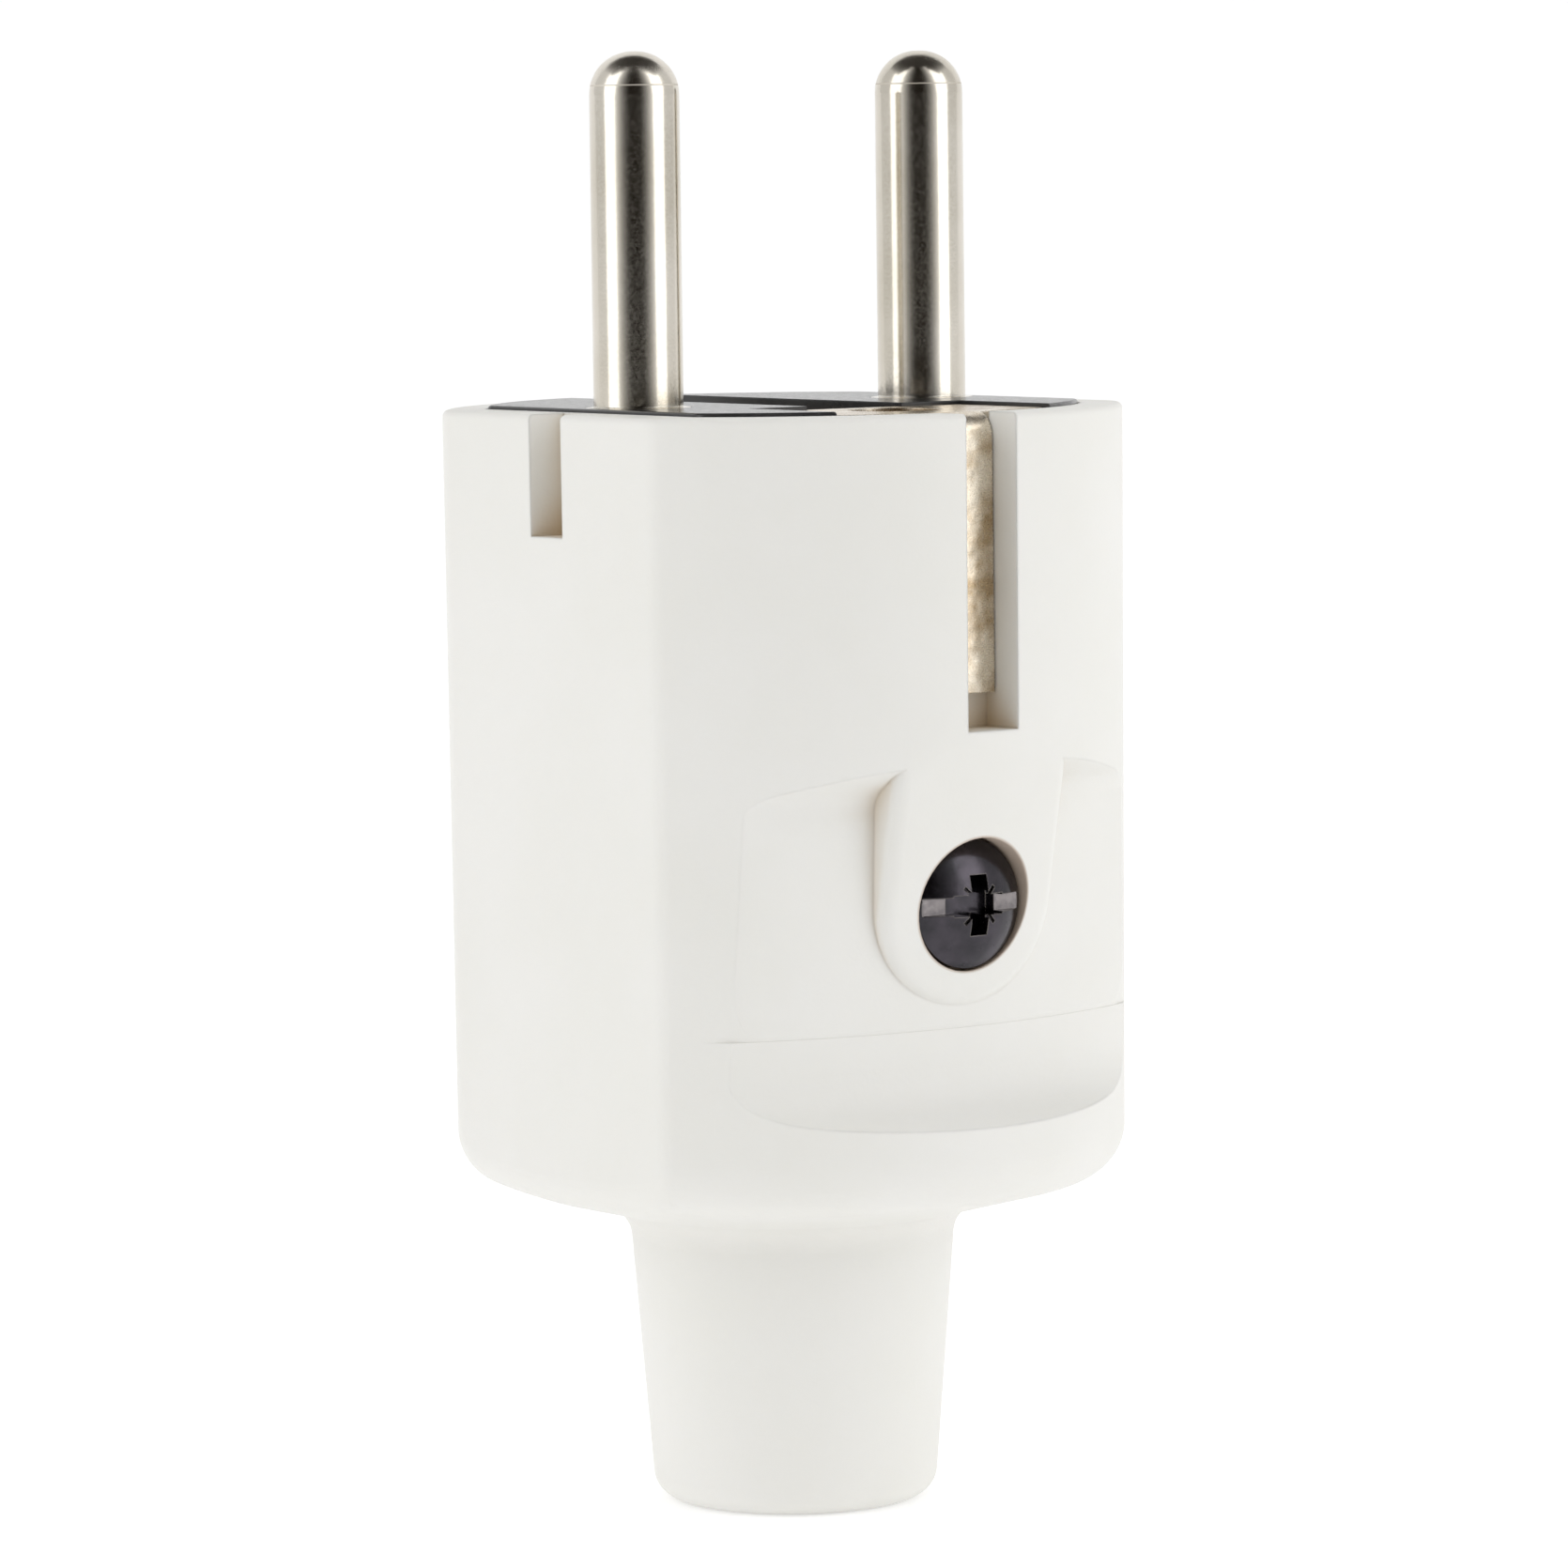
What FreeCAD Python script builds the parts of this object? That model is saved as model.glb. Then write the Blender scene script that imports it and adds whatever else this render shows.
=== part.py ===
import FreeCAD, Part
import math
import os

Vector = FreeCAD.Vector

# Rewireable earthed plug, in millimetres. Z runs from the end of the cord gland (Z = 0) up to the
# pins, X runs along the line of the two pins, and the broad side with the screw faces -Y.

# Contact pins
PIN_DIAMETER = 4.8
PIN_SEAT_DIAMETER = 5.6
PIN_FLAT_FROM_AXIS = 2.5
PIN_LENGTH = 18.85
PIN_ROOT_TAPER = 0.05
PIN_END_ROUND = 2.3
PIN_PITCH = 19.0
PIN_HEAD_DIAMETER = 6.4
PIN_HEAD_LENGTH = 8.8
PIN_HEAD_EDGE = 0.3
WIRE_HOLE_DIAMETER = 3.0
WIRE_HOLE_DEPTH = 7.2

# Hood, outside
HOOD_HEIGHT = 59.4
ROUND_PAST_FLAT = 2.73
HOOD_DRAFT_DEG = 0.3
FLAT_EDGE_ROUND = 1.8
BASE_ROUND = 3.0
RIM_ROUND = 0.3
GLAND_LENGTH = 15.75
GLAND_TOP_RADIUS = 8.87
GLAND_END_RADIUS = 7.62
GLAND_FILLET = 1.8
GLAND_END_ROUND = 1.5
SHOULDER_SLOPE_DEG = 14.0

# Hood, inside
ROUND_WALL = 2.3
FLAT_WALL = 2.85
CAVITY_CORNER = 1.0
LEDGE_DEPTH = 16.0
LOWER_WALL = 2.3
LOWER_ARC_RADIUS = 27.0
FLOOR_THICKNESS = 3.0
CORD_BORE_RADIUS = 5.0
CORD_BORE_EDGE = 0.35
CORD_LEAD_IN = 1.8

# Grip recess in both broad sides
GRIP_TOP_BELOW_RIM = 18.05
GRIP_LOW_ABOVE_GLAND = 6.25
GRIP_HALF_WIDTH = 13.25
GRIP_DEPTH_LOW = 3.0
GRIP_DEPTH_HIGH = 2.6
GRIP_LOW_RAMP = 1.0
GRIP_HIGH_RAMP = 1.9
GRIP_OVERSHOOT = 0.7
GRIP_SCOOP_ROUND = 2.6
GRIP_BROW_ROUND = 1.5

# Screw boss in the front grip recess
BOSS_HALF_WIDTH = 5.6
BOSS_EDGE_ROUND = 0.8
BOSS_FACE_TOP_BELOW_RIM = 16.7
BOSS_FACE_SLOPE_DEG = 10.9
BOSS_BROW_ROUND = 5.0
SCREW_BELOW_RIM = 25.8

# Earth slots and guide grooves
EARTH_SLOT_WIDTH = 3.3
EARTH_SLOT_LENGTH = 16.55
EARTH_RIB_SIDE = 0.9
EARTH_RIB_THICKNESS = 1.0
GUIDE_GROOVE_WIDTH = 2.9
GUIDE_GROOVE_DEPTH = 2.25
GUIDE_GROOVE_LENGTH = 6.46

# Contact carrier
CARRIER_PROUD = 0.2
CARRIER_SIDE_WALL = 0.6
CARRIER_CLEARANCE = 0.1
SCREW_HEAD_ROOM = 0.2
CARRIER_CORNER = 0.9
CARRIER_FACE_ROUND = 0.2
FIT_CLEARANCE = 0.05
THREAD_CLEARANCE = 0.03
TONGUE_HALF_WIDTH = 5.5
TONGUE_INNER_Y = 5.0
TONGUE_BELOW_SCREW = 4.7
RAIL_WIDTH = 4.5
RAIL_INNER_Y = 7.0
RAIL_OUTER_Y = 10.0

# Earth stirrup and its sleeve
STRIP_THICKNESS = 0.8
LEG_WIDTH = 3.1
LEG_SURFACE_INSET = 2.0
LEG_LENGTH = 14.7
STRIP_BEND = 0.5
PLATE_HALF_WIDTH = 6.9
PLATE_INNER_Y = 6.6
PLATE_EDGE_GAP = 0.5
STRIP_HALF_WIDTH = 3.0
STRIP_DROP = 1.2
JOGGLE_RUN = 1.0
CHANNEL_GAP = 0.15
RIB_BEND_ROOM = 0.55
EARTH_HOLE_INSET = 5.93
EARTH_HOLE_RADIUS = 2.5
SLEEVE_WALL = 0.5
SLEEVE_LENGTH = 14.0
SLEEVE_COLLAR_RADIUS = 4.0
SLEEVE_COLLAR_HEIGHT = 0.7
SLEEVE_SLIT_WIDTH = 0.5
SLEEVE_SLIT_LENGTH = 9.0
SPRING_THICKNESS = 0.4
SPRING_HEIGHT = 0.9
SPRING_RISE = 2.0
SPRING_GAP = 1.6

# Earth terminal
RIVET_Y = 6.0
RIVET_RADIUS = 1.5
RIVET_HEAD_RADIUS = 2.3
RIVET_HEAD_HEIGHT = 0.7
RIVET_HEAD_ROUND = 0.42
RIVET_GRIP_IN_BLOCK = 3.0
BLOCK_HALF_WIDTH = 3.4
BLOCK_HALF_DEPTH = 3.0
BLOCK_HEIGHT = 8.0
CLAMP_PLATE_THICKNESS = 1.0
EARTH_SCREW_RADIUS = 2.0
EARTH_SCREW_LENGTH = 5.4
EARTH_SCREW_HEAD_RADIUS = 3.3
EARTH_SCREW_HEAD_HEIGHT = 2.2

# Terminal screws and leaves in the pins' heads
TERMINAL_SCREW_RADIUS = 1.5
TERMINAL_SCREW_HEAD_RADIUS = 2.1
TERMINAL_SCREW_HEAD_HEIGHT = 1.8
TERMINAL_SCREW_Z_IN_HEAD = 3.6
LEAF_WIDTH = 2.0
LEAF_THICKNESS = 0.35
LEAF_LENGTH = 6.0

# Pin retainer
RETAINER_THICKNESS = 2.3
RETAINER_HALF_DEPTH = 4.4
RETAINER_SIDE_GAP = 0.4
RETAINER_WIRE_HOLE_RADIUS = 1.8
RETAINER_SCREW_Y = -1.3
RETAINER_SCREW_RADIUS = 1.25
RETAINER_SCREW_LENGTH = 6.5
RETAINER_SCREW_HEAD_RADIUS = 2.2
RETAINER_SCREW_HEAD_HEIGHT = 1.7

# Cord clamp
CLAMP_Z = 22.0
CLAMP_HEIGHT = 6.5
CLAMP_SIDE_ROOM = 1.75
CLAMP_CRADLE_DEPTH = 9.0
CLAMP_BORE_RADIUS = 4.3
CLAMP_SADDLE_THICKNESS = 2.0
CLAMP_TOOTH_HEIGHT = 0.6
CLAMP_TOOTH_WIDTH = 0.9
CLAMP_TOOTH_COUNT = 3
CLAMP_SCREW_INSET = 2.4
CLAMP_SCREW_RADIUS = 1.5
CLAMP_SCREW_LENGTH = 8.5
CLAMP_SCREW_HEAD_RADIUS = 2.4
CLAMP_SCREW_HEAD_HEIGHT = 1.8

# Housing screw and nut
SCREW_HEAD_RADIUS = 3.42
SCREW_HEAD_RIM = 1.1
SCREW_DOME = 1.2
SCREW_RIM_BELOW_FACE = 0.7
COUNTERBORE_GAP = 0.15
SCREW_RADIUS = 2.0
SCREW_HOLE_GAP = 0.2
SCREW_LENGTH = 10.8
SCREW_SLOT_WIDTH = 0.9
SCREW_SLOT_DEPTH = 1.0
SCREW_CROSS_WIDTH = 1.1
SCREW_CROSS_LENGTH = 3.2
SCREW_CROSS_DEPTH = 1.7
SCREW_TICK_WIDTH = 0.2
SCREW_TICK_REACH = 1.35
SCREW_TICK_DEPTH = 0.2
NUT_ACROSS_FLATS = 7.0
NUT_THICKNESS = 3.2
NUT_INSET = 0.4

# Slots in the small hidden screws
SMALL_SLOT_WIDTH = 0.8
SMALL_SLOT_DEPTH = 0.9
SMALL_HEAD_EDGE = 0.3

# How far a cutting shape passes the surface it opens, and a reach past the whole plug
OVERCUT = 1.0
FAR = 80.0

# Places that follow from the sizes above
PIN_SEAT_RADIUS = PIN_SEAT_DIAMETER / 2
CARRIER_HALF_FLAT = PIN_PITCH / 2 + PIN_FLAT_FROM_AXIS + FIT_CLEARANCE + CARRIER_SIDE_WALL
CAVITY_HALF_FLAT = CARRIER_HALF_FLAT + CARRIER_CLEARANCE
HOOD_HALF_FLAT = CAVITY_HALF_FLAT + FLAT_WALL
HOOD_RADIUS = HOOD_HALF_FLAT + ROUND_PAST_FLAT
FACE_Z = HOOD_HEIGHT + CARRIER_PROUD
LEDGE_Z = HOOD_HEIGHT - LEDGE_DEPTH
HEAD_TOP_Z = LEDGE_Z + PIN_HEAD_LENGTH
SCREW_Z = HOOD_HEIGHT - SCREW_BELOW_RIM
CAVITY_RADIUS = HOOD_RADIUS - ROUND_WALL
CARRIER_RADIUS = CAVITY_RADIUS - CARRIER_CLEARANCE
EARTH_HOLE_Y = CARRIER_RADIUS - EARTH_HOLE_INSET
CLAMP_HALF_WIDTH = CAVITY_HALF_FLAT - CLAMP_SIDE_ROOM
CLAMP_SCREW_X = CLAMP_HALF_WIDTH - CLAMP_SCREW_INSET
RAIL_OUTER_X = CLAMP_HALF_WIDTH
RAIL_INNER_X = RAIL_OUTER_X - RAIL_WIDTH
DRAFT = math.tan(math.radians(HOOD_DRAFT_DEG))
GRIP_TOP_Z = HOOD_HEIGHT - GRIP_TOP_BELOW_RIM
GRIP_LOW_Z = GLAND_LENGTH + GRIP_LOW_ABOVE_GLAND
LEG_SURFACE_Y = HOOD_RADIUS - LEG_SURFACE_INSET
LEG_BACK_Y = LEG_SURFACE_Y - STRIP_THICKNESS
SLOT_FLOOR_Y = LEG_BACK_Y - FIT_CLEARANCE
RIB_INNER_Y = SLOT_FLOOR_Y - EARTH_RIB_THICKNESS
RIB_HALF_WIDTH = EARTH_SLOT_WIDTH / 2 + EARTH_RIB_SIDE
SLOT_BOTTOM_Z = HOOD_HEIGHT - EARTH_SLOT_LENGTH
PLATE_TOP_Z = HOOD_HEIGHT
PLATE_UNDER_Z = PLATE_TOP_Z - STRIP_THICKNESS
STRIP_TOP_Z = PLATE_TOP_Z - STRIP_DROP
STRIP_UNDER_Z = STRIP_TOP_Z - STRIP_THICKNESS
SLEEVE_RADIUS = EARTH_HOLE_RADIUS + SLEEVE_WALL
SLEEVE_BOTTOM_Z = PLATE_UNDER_Z - SLEEVE_LENGTH
BLOCK_TOP_Z = HEAD_TOP_Z
BLOCK_BOTTOM_Z = BLOCK_TOP_Z - BLOCK_HEIGHT
CLAMP_PLATE_BOTTOM_Z = BLOCK_BOTTOM_Z - CLAMP_PLATE_THICKNESS
TERMINAL_SCREW_Z = LEDGE_Z + TERMINAL_SCREW_Z_IN_HEAD
RETAINER_Z = LEDGE_Z - RETAINER_THICKNESS
FLOOR_Z = GLAND_LENGTH + FLOOR_THICKNESS


def radius_at(z):
    """Outer radius of the hood's round sides at a height."""
    return HOOD_RADIUS - (HOOD_HEIGHT - z) * DRAFT


def half_flat_at(z):
    """Half the distance between the hood's two flats at a height."""
    return HOOD_HALF_FLAT - (HOOD_HEIGHT - z) * DRAFT


def box(x0, x1, y0, y1, z0, z1):
    """Block between two corners."""
    return Part.makeBox(x1 - x0, y1 - y0, z1 - z0, Vector(x0, y0, z0))


def post(radius, x, y, z0, z1):
    """Upright cylinder."""
    return Part.makeCylinder(radius, z1 - z0, Vector(x, y, z0), Vector(0, 0, 1))


def bar(radius, x, y0, y1, z):
    """Cylinder that lies along Y."""
    return Part.makeCylinder(radius, y1 - y0, Vector(x, y0, z), Vector(0, 1, 0))


def turned(points):
    """Solid turned about Z from (radius, height) points."""
    corners = [Vector(radius, 0, height) for radius, height in points]
    face = Part.Face(Part.makePolygon(corners + corners[:1]))
    return face.revolve(Vector(0, 0, 0), Vector(0, 0, 1), 360)


def rounded(solid, radius, wanted):
    """Round the edges that the test picks by their middle point."""
    edges = [edge for edge in solid.Edges if wanted(edge_middle(edge))]
    return solid.makeFillet(radius, edges)


def edge_middle(edge):
    """Point half way along an edge."""
    return edge.valueAt((edge.FirstParameter + edge.LastParameter) / 2)


def near(value, target):
    """True where two lengths agree to a hundredth."""
    return abs(value - target) < 0.01


def flatted_disc(radius, half_flat, corner, z0, z1):
    """Round block with two flats at X = +-half_flat and rounded upright corners."""
    disc = post(radius, 0, 0, z0, z1)
    disc = disc.common(box(-half_flat, half_flat, -radius, radius, z0, z1))
    middle = (z0 + z1) / 2
    return rounded(disc, corner, lambda p: near(abs(p.x), half_flat) and near(p.z, middle) and abs(p.y) > corner)


def hood_blank():
    """Outside of the hood before its recesses: a turned body and gland with two drafted flats."""
    slope = math.tan(math.radians(SHOULDER_SLOPE_DEG))
    shoulder_z = GLAND_LENGTH + (HOOD_RADIUS - GLAND_TOP_RADIUS) * slope
    body = turned([
        (0, 0),
        (GLAND_END_RADIUS, 0),
        (GLAND_TOP_RADIUS, GLAND_LENGTH),
        (radius_at(shoulder_z), shoulder_z),
        (HOOD_RADIUS, HOOD_HEIGHT),
        (0, HOOD_HEIGHT),
    ])
    body = rounded(body, BASE_ROUND, lambda p: near(p.z, shoulder_z))
    body = rounded(body, GLAND_FILLET, lambda p: near(p.z, GLAND_LENGTH))
    body = rounded(body, GLAND_END_ROUND, lambda p: near(p.z, 0) and p.Length > GLAND_END_RADIUS / 2)
    low = half_flat_at(0)
    flats = Part.makePolygon([
        Vector(-low, -HOOD_RADIUS, 0),
        Vector(low, -HOOD_RADIUS, 0),
        Vector(HOOD_HALF_FLAT, -HOOD_RADIUS, HOOD_HEIGHT),
        Vector(-HOOD_HALF_FLAT, -HOOD_RADIUS, HOOD_HEIGHT),
        Vector(-low, -HOOD_RADIUS, 0),
    ])
    body = body.common(Part.Face(flats).extrude(Vector(0, 2 * HOOD_RADIUS, 0)))
    body = rounded(body, FLAT_EDGE_ROUND, on_flat_edge)
    return rounded(body, RIM_ROUND, lambda p: near(p.z, HOOD_HEIGHT))


def on_flat_edge(p):
    """True for the rim-to-shoulder edges of the two flats, not for the rim itself."""
    return near(abs(p.x), half_flat_at(p.z)) and p.z < HOOD_HEIGHT - OVERCUT


def grip_centre():
    """How far behind the plug's axis the grip floor's own upright axis lies."""
    outer = radius_at(GRIP_LOW_Z)
    crown = outer - GRIP_DEPTH_LOW
    sag = crown - math.sqrt(outer ** 2 - GRIP_HALF_WIDTH ** 2)
    return (GRIP_HALF_WIDTH ** 2 + sag ** 2) / (2 * sag) - crown


def grip_cutter():
    """What the front grip recess takes away: a ring turned about a far axis, flatter than the hood."""
    centre = grip_centre()
    low_z = GRIP_LOW_Z + GRIP_LOW_RAMP
    high_z = GRIP_TOP_Z - GRIP_HIGH_RAMP
    low_spill = GRIP_OVERSHOOT * GRIP_LOW_RAMP / GRIP_DEPTH_LOW
    high_spill = GRIP_OVERSHOOT * GRIP_HIGH_RAMP / GRIP_DEPTH_HIGH
    low_skin = centre + radius_at(GRIP_LOW_Z)
    high_skin = centre + radius_at(GRIP_TOP_Z)
    ring = turned([
        (low_skin + GRIP_OVERSHOOT, GRIP_LOW_Z - low_spill),
        (low_skin - GRIP_DEPTH_LOW, low_z),
        (high_skin - GRIP_DEPTH_HIGH, high_z),
        (high_skin + GRIP_OVERSHOOT, GRIP_TOP_Z + high_spill),
    ])
    ring = rounded(ring, GRIP_SCOOP_ROUND, lambda p: near(p.z, low_z))
    ring = rounded(ring, GRIP_BROW_ROUND, lambda p: near(p.z, high_z))
    ring.translate(Vector(0, centre, 0))
    return ring


def screw_boss(skin):
    """Upright U of plastic round the screw in the front grip recess, with its outer edge rounded."""
    leg = box(-BOSS_HALF_WIDTH, BOSS_HALF_WIDTH, -FAR, 0, SCREW_Z, GRIP_TOP_Z)
    outline = leg.fuse(bar(BOSS_HALF_WIDTH, 0, -FAR, 0, SCREW_Z)).removeSplitter()
    return rounded(skin.common(outline), BOSS_EDGE_ROUND, on_boss_edge)


def boss_face_y():
    """Y of the boss's face where the housing screw passes it."""
    top_z = HOOD_HEIGHT - BOSS_FACE_TOP_BELOW_RIM
    return -(radius_at(top_z) - (top_z - SCREW_Z) * math.tan(math.radians(BOSS_FACE_SLOPE_DEG)))


def boss_face_cutter():
    """What slopes the boss's face inwards: a ring on the recess's own axis, from above its top down."""
    slope = math.tan(math.radians(BOSS_FACE_SLOPE_DEG))
    top_z = HOOD_HEIGHT - BOSS_FACE_TOP_BELOW_RIM
    foot_z = max(SCREW_Z - BOSS_HALF_WIDTH - OVERCUT, GRIP_LOW_Z)
    centre = grip_centre()
    top = centre + radius_at(top_z)
    ring = turned([
        (top - (top_z - foot_z) * slope, foot_z),
        (top + OVERCUT * slope, top_z + OVERCUT),
        (top + FAR, top_z + OVERCUT),
        (top + FAR, foot_z),
    ])
    ring.translate(Vector(0, centre, 0))
    return ring


def on_boss_face(p):
    """True on the cone that the boss's face follows."""
    top_z = HOOD_HEIGHT - BOSS_FACE_TOP_BELOW_RIM
    slope = math.tan(math.radians(BOSS_FACE_SLOPE_DEG))
    centre = grip_centre()
    wanted = centre + radius_at(top_z) - (top_z - p.z) * slope
    return p.y < 0 and near(math.hypot(p.x, p.y - centre), wanted)


def on_boss_edge(p):
    """True for the edge between the boss's face and its sides."""
    beside = near(abs(p.x), BOSS_HALF_WIDTH) and SCREW_Z < p.z < GRIP_TOP_Z
    below = near(math.hypot(p.x, p.z - SCREW_Z), BOSS_HALF_WIDTH) and p.z < SCREW_Z
    return p.y < -BOSS_HALF_WIDTH and (beside or below)


def on_boss_brow(p):
    """True for the line where the boss's face runs out into the round surface."""
    return on_boss_face(p) and near(math.hypot(p.x, p.y), radius_at(p.z))


def hood_cavity():
    """Space inside the hood: a full mouth for the carrier and a narrower chamber behind its ledge."""
    top = HOOD_HEIGHT + OVERCUT
    mouth = flatted_disc(CAVITY_RADIUS, CAVITY_HALF_FLAT, CAVITY_CORNER, LEDGE_Z, top)
    rib_tops = {-1: PLATE_UNDER_Z - RIB_BEND_ROOM, 1: STRIP_UNDER_Z - RIB_BEND_ROOM}
    for side, rib_top in rib_tops.items():
        y0, y1 = sorted((side * RIB_INNER_Y, side * CAVITY_RADIUS))
        mouth = mouth.cut(box(-RIB_HALF_WIDTH, RIB_HALF_WIDTH, y0, y1, LEDGE_Z, rib_top))
    return mouth.fuse(lower_chamber(0)).fuse(cord_passage())


def lower_chamber(gap):
    """Chamber between the gland and the ledge, with walls that follow the grip recesses."""
    crown = radius_at(GRIP_LOW_Z) - GRIP_DEPTH_LOW - LOWER_WALL - gap
    height = LEDGE_Z - FLOOR_Z
    chamber = box(-CAVITY_HALF_FLAT + gap, CAVITY_HALF_FLAT - gap, -crown, crown, FLOOR_Z, LEDGE_Z)
    for side in (-1, 1):
        centre = Vector(0, side * (LOWER_ARC_RADIUS - crown), FLOOR_Z)
        chamber = chamber.common(Part.makeCylinder(LOWER_ARC_RADIUS, height, centre))
    return chamber


def cord_passage():
    """Bore through the gland, with an eased mouth outside and a funnel inside."""
    funnel_z = FLOOR_Z - CORD_LEAD_IN
    return turned([
        (0, -OVERCUT),
        (CORD_BORE_RADIUS + CORD_BORE_EDGE + OVERCUT, -OVERCUT),
        (CORD_BORE_RADIUS, CORD_BORE_EDGE),
        (CORD_BORE_RADIUS, funnel_z),
        (CORD_BORE_RADIUS + CORD_LEAD_IN, FLOOR_Z),
        (CORD_BORE_RADIUS + CORD_LEAD_IN, FLOOR_Z + OVERCUT),
        (0, FLOOR_Z + OVERCUT),
    ])


def hood():
    """White moulded hood with its gland, grip recesses, boss, slots and grooves."""
    skin = hood_blank().cut(boss_face_cutter())
    skin = rounded(skin, BOSS_BROW_ROUND, on_boss_brow)
    cutter = grip_cutter()
    body = skin.cut(cutter).fuse(screw_boss(skin))
    body = body.cut(cutter.mirror(Vector(0, 0, 0), Vector(0, 1, 0))).removeSplitter()
    body = body.cut(hood_cavity())
    half_slot = EARTH_SLOT_WIDTH / 2
    half_groove = GUIDE_GROOVE_WIDTH / 2
    groove_x = HOOD_HALF_FLAT - GUIDE_GROOVE_DEPTH
    groove_z = HOOD_HEIGHT - GUIDE_GROOVE_LENGTH
    top = HOOD_HEIGHT + OVERCUT
    for side in (-1, 1):
        y0, y1 = sorted((side * SLOT_FLOOR_Y, side * FAR))
        body = body.cut(box(-half_slot, half_slot, y0, y1, SLOT_BOTTOM_Z, top))
        x0, x1 = sorted((side * groove_x, side * FAR))
        body = body.cut(box(x0, x1, -half_groove, half_groove, groove_z, top))
    seat_y = boss_face_y() + SCREW_RIM_BELOW_FACE + SCREW_HEAD_RIM
    body = body.cut(bar(SCREW_HEAD_RADIUS + COUNTERBORE_GAP, 0, -FAR, seat_y, SCREW_Z))
    return body.cut(bar(SCREW_RADIUS + SCREW_HOLE_GAP, 0, -FAR, 0, SCREW_Z))


def pin(side):
    """Contact pin with its domed end, turned in one with the flatted head that takes the wire."""
    radius = PIN_DIAMETER / 2
    head_radius = PIN_HEAD_DIAMETER / 2
    tip_z = FACE_Z + PIN_LENGTH
    x = side * PIN_PITCH / 2
    body = turned([
        (0, LEDGE_Z),
        (head_radius - PIN_HEAD_EDGE, LEDGE_Z),
        (head_radius, LEDGE_Z + PIN_HEAD_EDGE),
        (head_radius, HEAD_TOP_Z - PIN_HEAD_EDGE),
        (head_radius - PIN_HEAD_EDGE, HEAD_TOP_Z),
        (PIN_SEAT_RADIUS, HEAD_TOP_Z),
        (PIN_SEAT_RADIUS, FACE_Z),
        (radius, FACE_Z + PIN_ROOT_TAPER),
        (radius, tip_z),
        (0, tip_z),
    ])
    body = rounded(body, PIN_END_ROUND, lambda p: near(p.z, tip_z) and math.hypot(p.x, p.y) > radius / 2)
    body.translate(Vector(x, 0, 0))
    flat = sorted((x + side * PIN_FLAT_FROM_AXIS, x + side * FAR))
    body = body.cut(box(flat[0], flat[1], -FAR, FAR, 0, FAR))
    body = body.cut(post(WIRE_HOLE_DIAMETER / 2, x, 0, LEDGE_Z, LEDGE_Z + WIRE_HOLE_DEPTH))
    return body.cut(bar(TERMINAL_SCREW_RADIUS + THREAD_CLEARANCE, x, -FAR, 0, TERMINAL_SCREW_Z))


def slotted_screw(radius, length, head_radius, head_height):
    """Cheese-head screw along +Z from under its head, which lies below Z = 0."""
    body = turned([
        (0, -head_height),
        (head_radius - SMALL_HEAD_EDGE, -head_height),
        (head_radius, SMALL_HEAD_EDGE - head_height),
        (head_radius, 0),
        (radius, 0),
        (radius, length),
        (0, length),
    ])
    half = SMALL_SLOT_WIDTH / 2
    return body.cut(box(-FAR, FAR, -half, half, -head_height, SMALL_SLOT_DEPTH - head_height))


def leaf_y():
    """Height along Y of the leaf's outer face, held under the terminal screw's end."""
    hole = WIRE_HOLE_DIAMETER / 2
    return -math.sqrt(hole ** 2 - (LEAF_WIDTH / 2) ** 2) + FIT_CLEARANCE


def terminal_screw(side):
    """Wire screw in a pin's head, with its slot towards -Y."""
    reach = PIN_HEAD_DIAMETER / 2 + leaf_y()
    screw = slotted_screw(TERMINAL_SCREW_RADIUS, reach, TERMINAL_SCREW_HEAD_RADIUS, TERMINAL_SCREW_HEAD_HEIGHT)
    screw.rotate(Vector(0, 0, 0), Vector(1, 0, 0), -90)
    screw.translate(Vector(side * PIN_PITCH / 2, -PIN_HEAD_DIAMETER / 2, TERMINAL_SCREW_Z))
    return screw


def pressure_leaf(side):
    """Thin leaf between a wire screw and the strands."""
    x = side * PIN_PITCH / 2
    half = LEAF_WIDTH / 2
    y = leaf_y()
    return box(x - half, x + half, y, y + LEAF_THICKNESS, LEDGE_Z, LEDGE_Z + LEAF_LENGTH)


def carrier_pockets(gap):
    """Upright pockets for the pins' flatted heads and seats, open below."""
    pockets = []
    for side in (-1, 1):
        x = side * PIN_PITCH / 2
        head = post(PIN_HEAD_DIAMETER / 2 + gap, x, 0, LEDGE_Z - OVERCUT, HEAD_TOP_Z)
        seat = post(PIN_SEAT_RADIUS + gap, x, 0, HEAD_TOP_Z - OVERCUT, FACE_Z + OVERCUT)
        flat = sorted((x + side * (PIN_FLAT_FROM_AXIS + gap), x + side * FAR))
        pockets.append(head.fuse(seat).cut(box(flat[0], flat[1], -FAR, FAR, 0, FAR)))
        channel = TERMINAL_SCREW_HEAD_RADIUS + SCREW_HEAD_ROOM
        pockets.append(bar(channel, x, -FAR, 0, TERMINAL_SCREW_Z))
    return pockets


def stirrup_mask(gap):
    """Plan outline of the stirrup, as an upright prism, opened out by a gap."""
    low, high = LEDGE_Z - OVERCUT, FACE_Z + OVERCUT
    leg = LEG_WIDTH / 2 + gap
    plate = PLATE_HALF_WIDTH + gap
    strip = STRIP_HALF_WIDTH + gap
    legs = box(-leg, leg, -LEG_SURFACE_Y, LEG_SURFACE_Y, low, high)
    web = box(-strip, strip, -PLATE_INNER_Y, RIB_INNER_Y - FIT_CLEARANCE, low, high)
    round_edge = post(CARRIER_RADIUS - PLATE_EDGE_GAP + gap, 0, 0, low, high)
    face = box(-plate, plate, -FAR, -PLATE_INNER_Y + gap, low, high).common(round_edge)
    return legs.fuse(web).fuse(face)


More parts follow.
